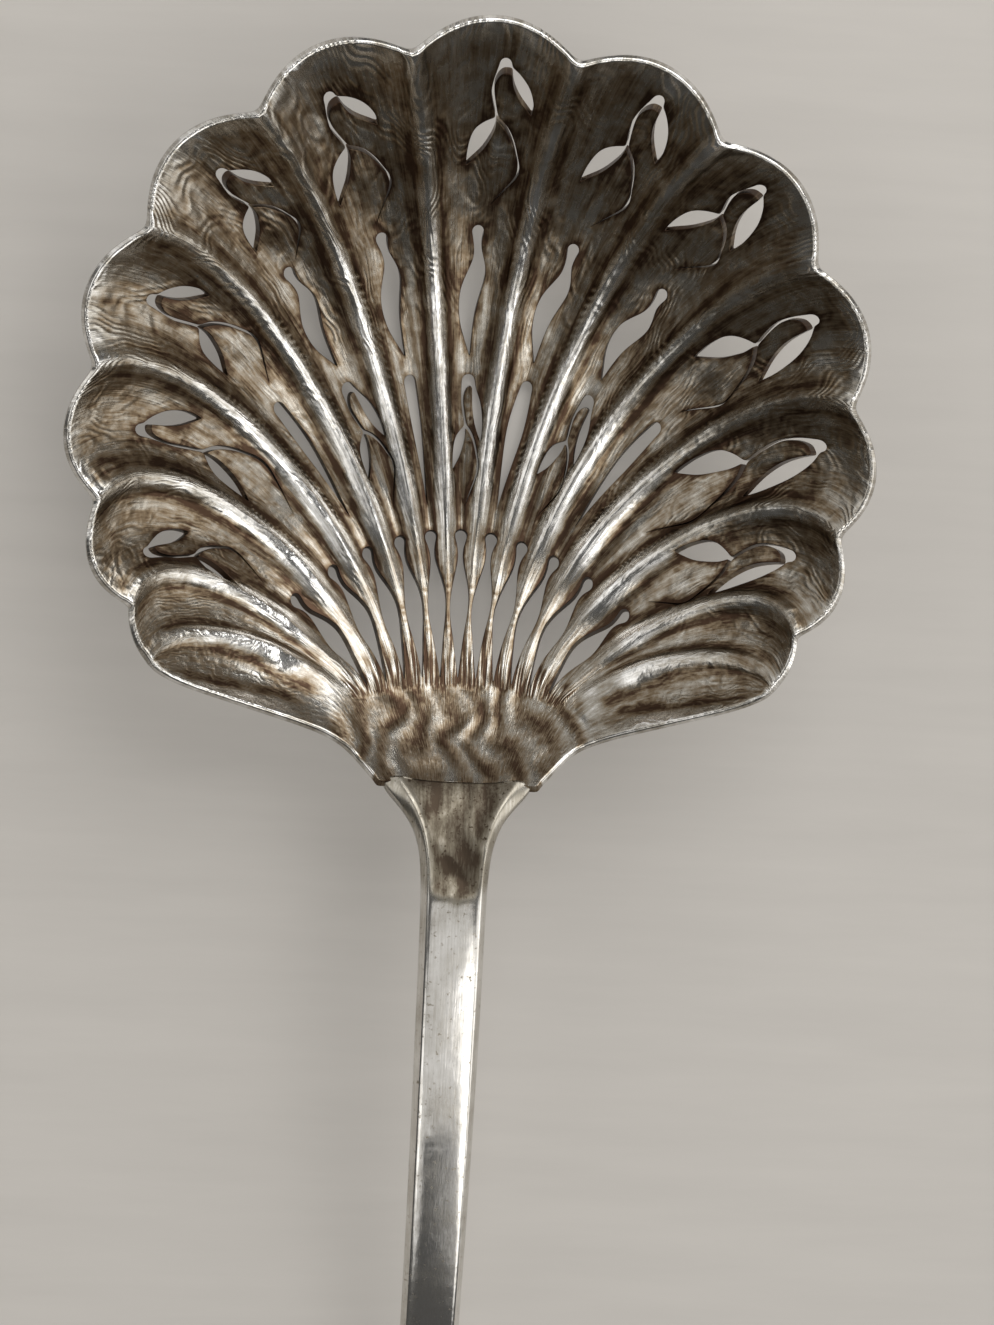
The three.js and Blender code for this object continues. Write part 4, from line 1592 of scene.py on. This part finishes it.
@dataclass(frozen=True)
class Grain:
    """Lines like those of grained wood: radians per unit along each axis, and radians of their bending."""

    pitch: Colour
    swirl: float

    def over(self, place: Wire, drift: Wire) -> Wire:
        """A wave between -1 and 1 over a coordinate, bent by a drift."""
        return place.recipe.math("SINE", place.recipe.dot(place, self.pitch) + drift * self.swirl)


@dataclass(frozen=True)
class Silver:
    """Old silver: tarnished in its hollows and rubbed bright where it is touched.

    It has four colours at places along the wear, a roughness at the ends of a span of the wear, the depth
    of its relief in metres, and the bands that the bowl's heel and the neck share.
    """

    name: str
    colours: tuple[Colour, ...]
    roughness: tuple[float, float]
    relief: float
    places: tuple[float, ...] = (0.0, 0.18, 0.5, 0.95)
    rubbing: tuple[float, float] = (0.15, 0.95)
    bands: Grain = Grain((2300.0, 500.0, 0.0), 16.0)
    bands_drift: Noise = Noise((170.0, 170.0, 170.0), 1.0, 0.4)

    def layers(self, place: Wire) -> tuple[Wire, Wire]:
        """Wear, 0 where the silver is tarnished and 1 where it is rubbed bright, and height.

        Args:
            place: The Object coordinate.

        Returns:
            The wear and the height in depths of the relief.
        """
        raise NotImplementedError

    def heel_bands(self, place: Wire) -> Wire:
        """Wood-like bands between -1 and 1, used as a bump and, added to the colour, as a painted
        reflection of a wavy surface.
        """
        return self.bands.over(place, self.bands_drift.over(place))

    def material(self) -> bpy.types.Material:
        """The metal, with its colour, its roughness and its relief.

        Returns:
            The material.
        """
        material, recipe = new_material(self.name)
        wear, height = self.layers(recipe.wire("ShaderNodeTexCoord", output="Object"))
        bump = {"Height": height, "Distance": self.relief, "Strength": 1.0}
        inputs = {
            "Base Color": recipe.ramp(wear, self.places, self.colours),
            "Roughness": wear.span(*self.rubbing, *self.roughness),
            "Metallic": 1.0,
            "Normal": recipe.wire("ShaderNodeBump", bump),
        }
        shader = recipe.wire("ShaderNodeBsdfPrincipled", inputs)
        recipe.add("ShaderNodeOutputMaterial", {"Surface": shader})
        return material

    def cover(self, piece: bpy.types.Object) -> None:
        """Gives a piece this metal in place of what it had.

        Args:
            piece: The object that wears it.
        """
        material = self.material()
        piece.data.materials.clear()
        piece.data.materials.append(material)
        log.info("%s wears %s", piece.name, material.name)


@dataclass(frozen=True)
class BowlSilver(Silver):
    """Silver of the bowl: all its noises but the blotches run along the flutes."""

    waves: Noise = Noise((4.0, 2.6, 1.0), 3.0, 0.5, (0.35, 0.65), (0.4, 1.4))
    streaks: Noise = Noise((11.0, 1.1, 1.0), 4.0, 0.62, (0.3, 0.7), (-0.17, 0.17))
    scratches: Noise = Noise((64.0, 2.4, 1.0), 3.0, 0.7, (0.3, 0.7), (-0.1, 0.1))
    notches: Noise = Noise((7.0, 1.6, 1.0), 2.0, 0.5, (0.4, 0.6), (-0.45, 0.35))
    blotches: Noise = Noise((330.0, 330.0, 330.0), 6.0, 0.68, (0.34, 0.66), (-0.17, 0.17))
    drift: Noise = Noise((1.5, 0.9, 1.0), 2.0, 0.5)
    grain: Grain = Grain((58.0, 0.0, 0.0), 120.0)
    # The grain's lines in the colour are a painted reflection of a wavy surface; its height is a bump.
    grain_reflection: float = 0.04
    # The heel's bands in the colour are a painted reflection of a wavy surface.
    band_reflection: float = 0.15
    # The walls of the cuts are darker: tarnish and painted shade.
    cut_tarnish_and_shade: float = -0.25
    streak_height: float = 0.35
    scratch_height: float = 0.1
    grain_height: float = 0.05
    band_height: float = 0.26
    notch_height: float = 0.7

    def layers(self, place: Wire) -> tuple[Wire, Wire]:
        """Polish of the mesh, broken up by streaks, blotches, scratches, grain, bands and notches, with the
        grain and bands as painted reflections and the cut walls darkened by painted shade and tarnish.

        Args:
            place: The Object coordinate.

        Returns:
            The wear and the height.
        """
        flutes = place.recipe.wire("ShaderNodeUVMap", uv_map="flutes")
        names = ("polish", "cut", "spread", "heel", "chased")
        polish, cut, spread, heel, chased = (place.recipe.attribute(name) for name in names)
        noises = (self.waves, self.streaks, self.scratches, self.notches)
        waves, streaks, scratches, notches = (noise.over(flutes) for noise in noises)
        grain = self.grain.over(flutes, self.drift.over(flutes) * spread) * self.waves.worn(waves)
        bands = self.heel_bands(place) * heel
        wear = polish + self.streaks.worn(streaks) + self.blotches.worn(self.blotches.over(place))
        # Grain and bands lighten and darken the colour: painted reflections of a wavy surface.
        wear = wear + self.scratches.worn(scratches) + grain * self.grain_reflection + bands * self.band_reflection
        # The cut walls are darkened: painted shade with some tarnish.
        wear = wear + self.notches.worn(notches) * chased + cut * self.cut_tarnish_and_shade
        along = waves + streaks * self.streak_height + scratches * self.scratch_height
        height = (along + grain * self.grain_height) * spread + bands * self.band_height
        return wear, height + notches * chased * self.notch_height


@dataclass(frozen=True)
class StemSilver(Silver):
    """Silver of the stem, with scratches along it and small dark specks, and bands in its neck that are
    partly a painted reflection.
    """

    scratches: Noise = Noise((5200.0, 160.0, 5200.0), 4.0, 0.65, (0.2, 0.8), (-0.15, 0.1))
    blotches: Noise = Noise((260.0, 260.0, 260.0), 5.0, 0.62, (0.3, 0.7), (-0.16, 0.08))
    specks: Noise = Noise((2600.0, 2600.0, 2600.0), 2.0, 0.5, (0.63, 0.77), (0.0, -0.42))
    lines: Noise = Noise((1500.0, 150.0, 150.0), 3.0, 0.6, (0.35, 0.65), (-0.1, 0.1))
    dents: Noise = Noise((420.0, 420.0, 420.0), 2.0, 0.4)
    neck_blotches: float = 0.5
    # Bands in the neck's colour: a painted reflection of a wavy surface.
    band_reflection: float = 0.08
    scratch_height: float = 0.2
    band_height: float = 0.9
    line_height: float = 1.2

    def layers(self, place: Wire) -> tuple[Wire, Wire]:
        """Polish of the mesh with scratches, blotches and specks, soft dents, and a rougher neck.

        Args:
            place: The Object coordinate.

        Returns:
            The wear and the height.
        """
        polish, neck = (place.recipe.attribute(name) for name in ("polish", "neck"))
        noises = (self.scratches, self.blotches, self.specks, self.lines, self.dents)
        scratches, blotches, specks, lines, dents = (noise.over(place) for noise in noises)
        bands = self.heel_bands(place)
        patches = self.blotches.worn(blotches) * neck.span(0.0, 1.0, 1.0, self.neck_blotches)
        wear = patches + self.scratches.worn(scratches) + polish + self.specks.worn(specks)
        # The bands add a painted reflection to the neck's colour.
        wear = wear + (self.lines.worn(lines) + bands * self.band_reflection) * neck
        uneven = bands * self.band_height + lines * self.line_height
        return wear, dents + scratches * self.scratch_height + uneven * neck


@dataclass(frozen=True)
class SolderSilver(Silver):
    """Dull solder with a grainy skin."""

    grains: Noise = Noise((2200.0, 2200.0, 2200.0), 4.0, 0.6, (0.2, 0.8), (0.1, 0.5))
    blotches: Noise = Noise((500.0, 500.0, 500.0), 4.0, 0.6, (0.2, 0.8), (0.0, 0.4))

    def layers(self, place: Wire) -> tuple[Wire, Wire]:
        """Wear of grains and blotches, and the height of the grains."""
        grains = self.grains.over(place)
        return self.grains.worn(grains) + self.blotches.worn(self.blotches.over(place)), grains


BOWL_SILVER = BowlSilver(
    name="bowl_silver",
    colours=((0.06, 0.036, 0.023), (0.19, 0.143, 0.092), (0.39, 0.364, 0.318), (0.88, 0.87, 0.85)),
    roughness=(0.32, 0.1),
    relief=0.0002,
)
STEM_SILVER = StemSilver(
    name="stem_silver",
    colours=((0.065, 0.048, 0.034), (0.165, 0.142, 0.106), (0.37, 0.342, 0.288), (0.86, 0.845, 0.82)),
    roughness=(0.5, 0.03),
    relief=0.00003,
)
SOLDER = SolderSilver(
    name="solder",
    colours=((0.2, 0.18, 0.15), (0.3, 0.28, 0.24), (0.48, 0.45, 0.4), (0.66, 0.63, 0.57)),
    roughness=(0.5, 0.4),
    relief=0.00005,
)


@dataclass(frozen=True)
class Lamp:
    """A soft square lamp aimed at the bowl."""

    name: str
    place: Colour
    size: float
    watts: float

    def build(self, aim: Vector) -> None:
        """Adds the lamp.

        Args:
            aim: The point that it shines at.
        """
        data = bpy.data.lights.new(self.name, "AREA")
        data.size = self.size
        data.energy = self.watts
        lamp = bpy.data.objects.new(self.name, data)
        lamp.location = self.place
        lamp.rotation_euler = (aim - lamp.location).to_track_quat("-Z", "Y").to_euler()
        bpy.context.collection.objects.link(lamp)


@dataclass(frozen=True)
class Glow:
    """A soft bright patch of the room: its bearing from +X, height and reach in degrees, and its level."""

    bearing: float
    height: float
    inner: float
    outer: float
    strength: float

    def level(self, way: Wire) -> Wire:
        """Brightness of the patch in a direction.

        Args:
            way: The direction.

        Returns:
            The brightness.
        """
        bearing, height, inner, outer = np.radians([self.bearing, self.height, self.inner, self.outer])
        middle = (np.cos(height) * np.cos(bearing), np.cos(height) * np.sin(bearing), np.sin(height))
        near = way.recipe.dot(way, middle)
        return near.span(np.cos(outer), np.cos(inner), 0.0, self.strength, "SMOOTHSTEP")


@dataclass(frozen=True)
class Studio:
    """Floor, light and camera."""

    camera_mm: Colour = (-12.37, 60.59, 213.9)
    turns: Colour = (-5.55, -4.16, 2.99)
    lens: float = 39.85
    sensor: float = 24.0
    nearest: float = 0.005
    floor_half: float = 3.0
    floor_colour: Colour = (0.515, 0.487, 0.45)
    floor_grain: Noise = Noise((30.0, 260.0, 30.0), 4.0, 0.6, (0.3, 0.7), (0.97, 1.03))
    floor_rough: float = 0.55
    floor_glow: float = 0.28
    room_colour: Colour = (1.0, 0.985, 0.96)
    room_level: float = 0.09
    seen_colour: Colour = (0.8, 0.78, 0.75)
    glows: tuple[Glow, ...] = (
        Glow(-90.0, 78.0, 16.0, 19.0, 0.62),
        Glow(-115.0, 52.0, 9.5, 11.5, 0.6),
        Glow(-67.0, 52.0, 9.5, 11.5, 0.35),
        Glow(-44.0, 67.0, 4.0, 12.0, 1.8),
        Glow(-46.0, 54.0, 4.0, 15.0, 2.3),
        Glow(-48.0, 40.0, 4.0, 15.0, 1.8),
        Glow(-15.0, 55.0, 4.0, 14.0, 1.0),
        Glow(-140.0, 50.0, 5.0, 18.0, 1.2),
        Glow(160.0, 38.0, 8.0, 26.0, 1.1),
        Glow(-5.0, 18.0, 8.0, 36.0, 1.7),
        Glow(122.0, 18.0, 8.0, 30.0, 0.75),
    )
    lamps: tuple[Lamp, ...] = (Lamp("key", (0.25, 0.6, 0.535), 0.7, 4.8),)

    def camera(self) -> None:
        """The camera of the photograph: over the bowl, turned a little about each axis."""
        data = bpy.data.cameras.new("camera")
        data.sensor_fit = "VERTICAL"
        data.sensor_height = self.sensor
        data.lens = self.lens
        data.clip_start = self.nearest
        camera = bpy.data.objects.new("camera", data)
        x, y, z = (Matrix.Rotation(np.radians(turn), 4, axis) for turn, axis in zip(self.turns, "XYZ"))
        camera.matrix_world = Matrix.Translation(Vector(self.camera_mm) * MM) @ z @ y @ x
        bpy.context.collection.objects.link(camera)
        bpy.context.scene.camera = camera

    def floor(self) -> None:
        """A pale painted table with a faint grain."""
        size = self.floor_half
        mesh = bpy.data.meshes.new("table")
        corners = [(-size, -size, 0), (size, -size, 0), (size, size, 0), (-size, size, 0)]
        mesh.from_pydata(corners, [], [(0, 1, 2, 3)])
        table = bpy.data.objects.new("table", mesh)
        bpy.context.collection.objects.link(table)
        material, recipe = new_material("table_paint")
        grain = self.floor_grain.over(recipe.wire("ShaderNodeTexCoord", output="Object"))
        shades = tuple(tuple(part * shade for part in self.floor_colour) for shade in self.floor_grain.wear)
        colour = recipe.ramp(grain, self.floor_grain.core, shades)
        inputs = {"Base Color": colour, "Roughness": self.floor_rough}
        paint = recipe.wire("ShaderNodeBsdfPrincipled", inputs)
        pale = recipe.wire("ShaderNodeEmission", {"Color": colour})
        seen = recipe.wire("ShaderNodeLightPath", output="Is Camera Ray") * self.floor_glow
        mixed = recipe.wire("ShaderNodeMixShader", {0: seen, 1: paint, 2: pale})
        recipe.add("ShaderNodeOutputMaterial", {"Surface": mixed})
        mesh.materials.append(material)

    def world(self) -> None:
        """A dim room with soft bright patches, pale only where the camera sees it."""
        world = bpy.data.worlds.new("room")
        bpy.context.scene.world = world
        world.use_nodes = True
        recipe = Recipe(world.node_tree)
        way = recipe.wire("ShaderNodeTexCoord", output="Generated")
        level = recipe.math("ADD", self.room_level, 0.0)
        for glow in self.glows:
            level = level + glow.level(way)
        room = recipe.wire("ShaderNodeBackground", {"Color": (*self.room_colour, 1.0), "Strength": level})
        pale = recipe.wire("ShaderNodeBackground", {"Color": (*self.seen_colour, 1.0), "Strength": 1.0})
        seen = recipe.wire("ShaderNodeLightPath", output="Is Camera Ray")
        mixed = recipe.wire("ShaderNodeMixShader", {0: seen, 1: room, 2: pale})
        recipe.add("ShaderNodeOutputWorld", {"Surface": mixed})

    def build(self) -> None:
        """Sets the whole studio up."""
        self.camera()
        self.floor()
        self.world()
        aim = Vector((0.0, PLACING.axis_y * MM, 0.0))
        for lamp in self.lamps:
            lamp.build(aim)
        bpy.context.scene.view_settings.view_transform = "Standard"


def main() -> None:
    """Builds the spoon and the studio."""
    logging.basicConfig(level=logging.INFO, format="%(name)s: %(message)s")
    form = BowlForm()
    for assembly in (ShellBowl(form), Stem(form), SolderSeam()):
        assembly.dress(assembly.build())
    Studio().build()


if __name__ == "__main__":
    main()
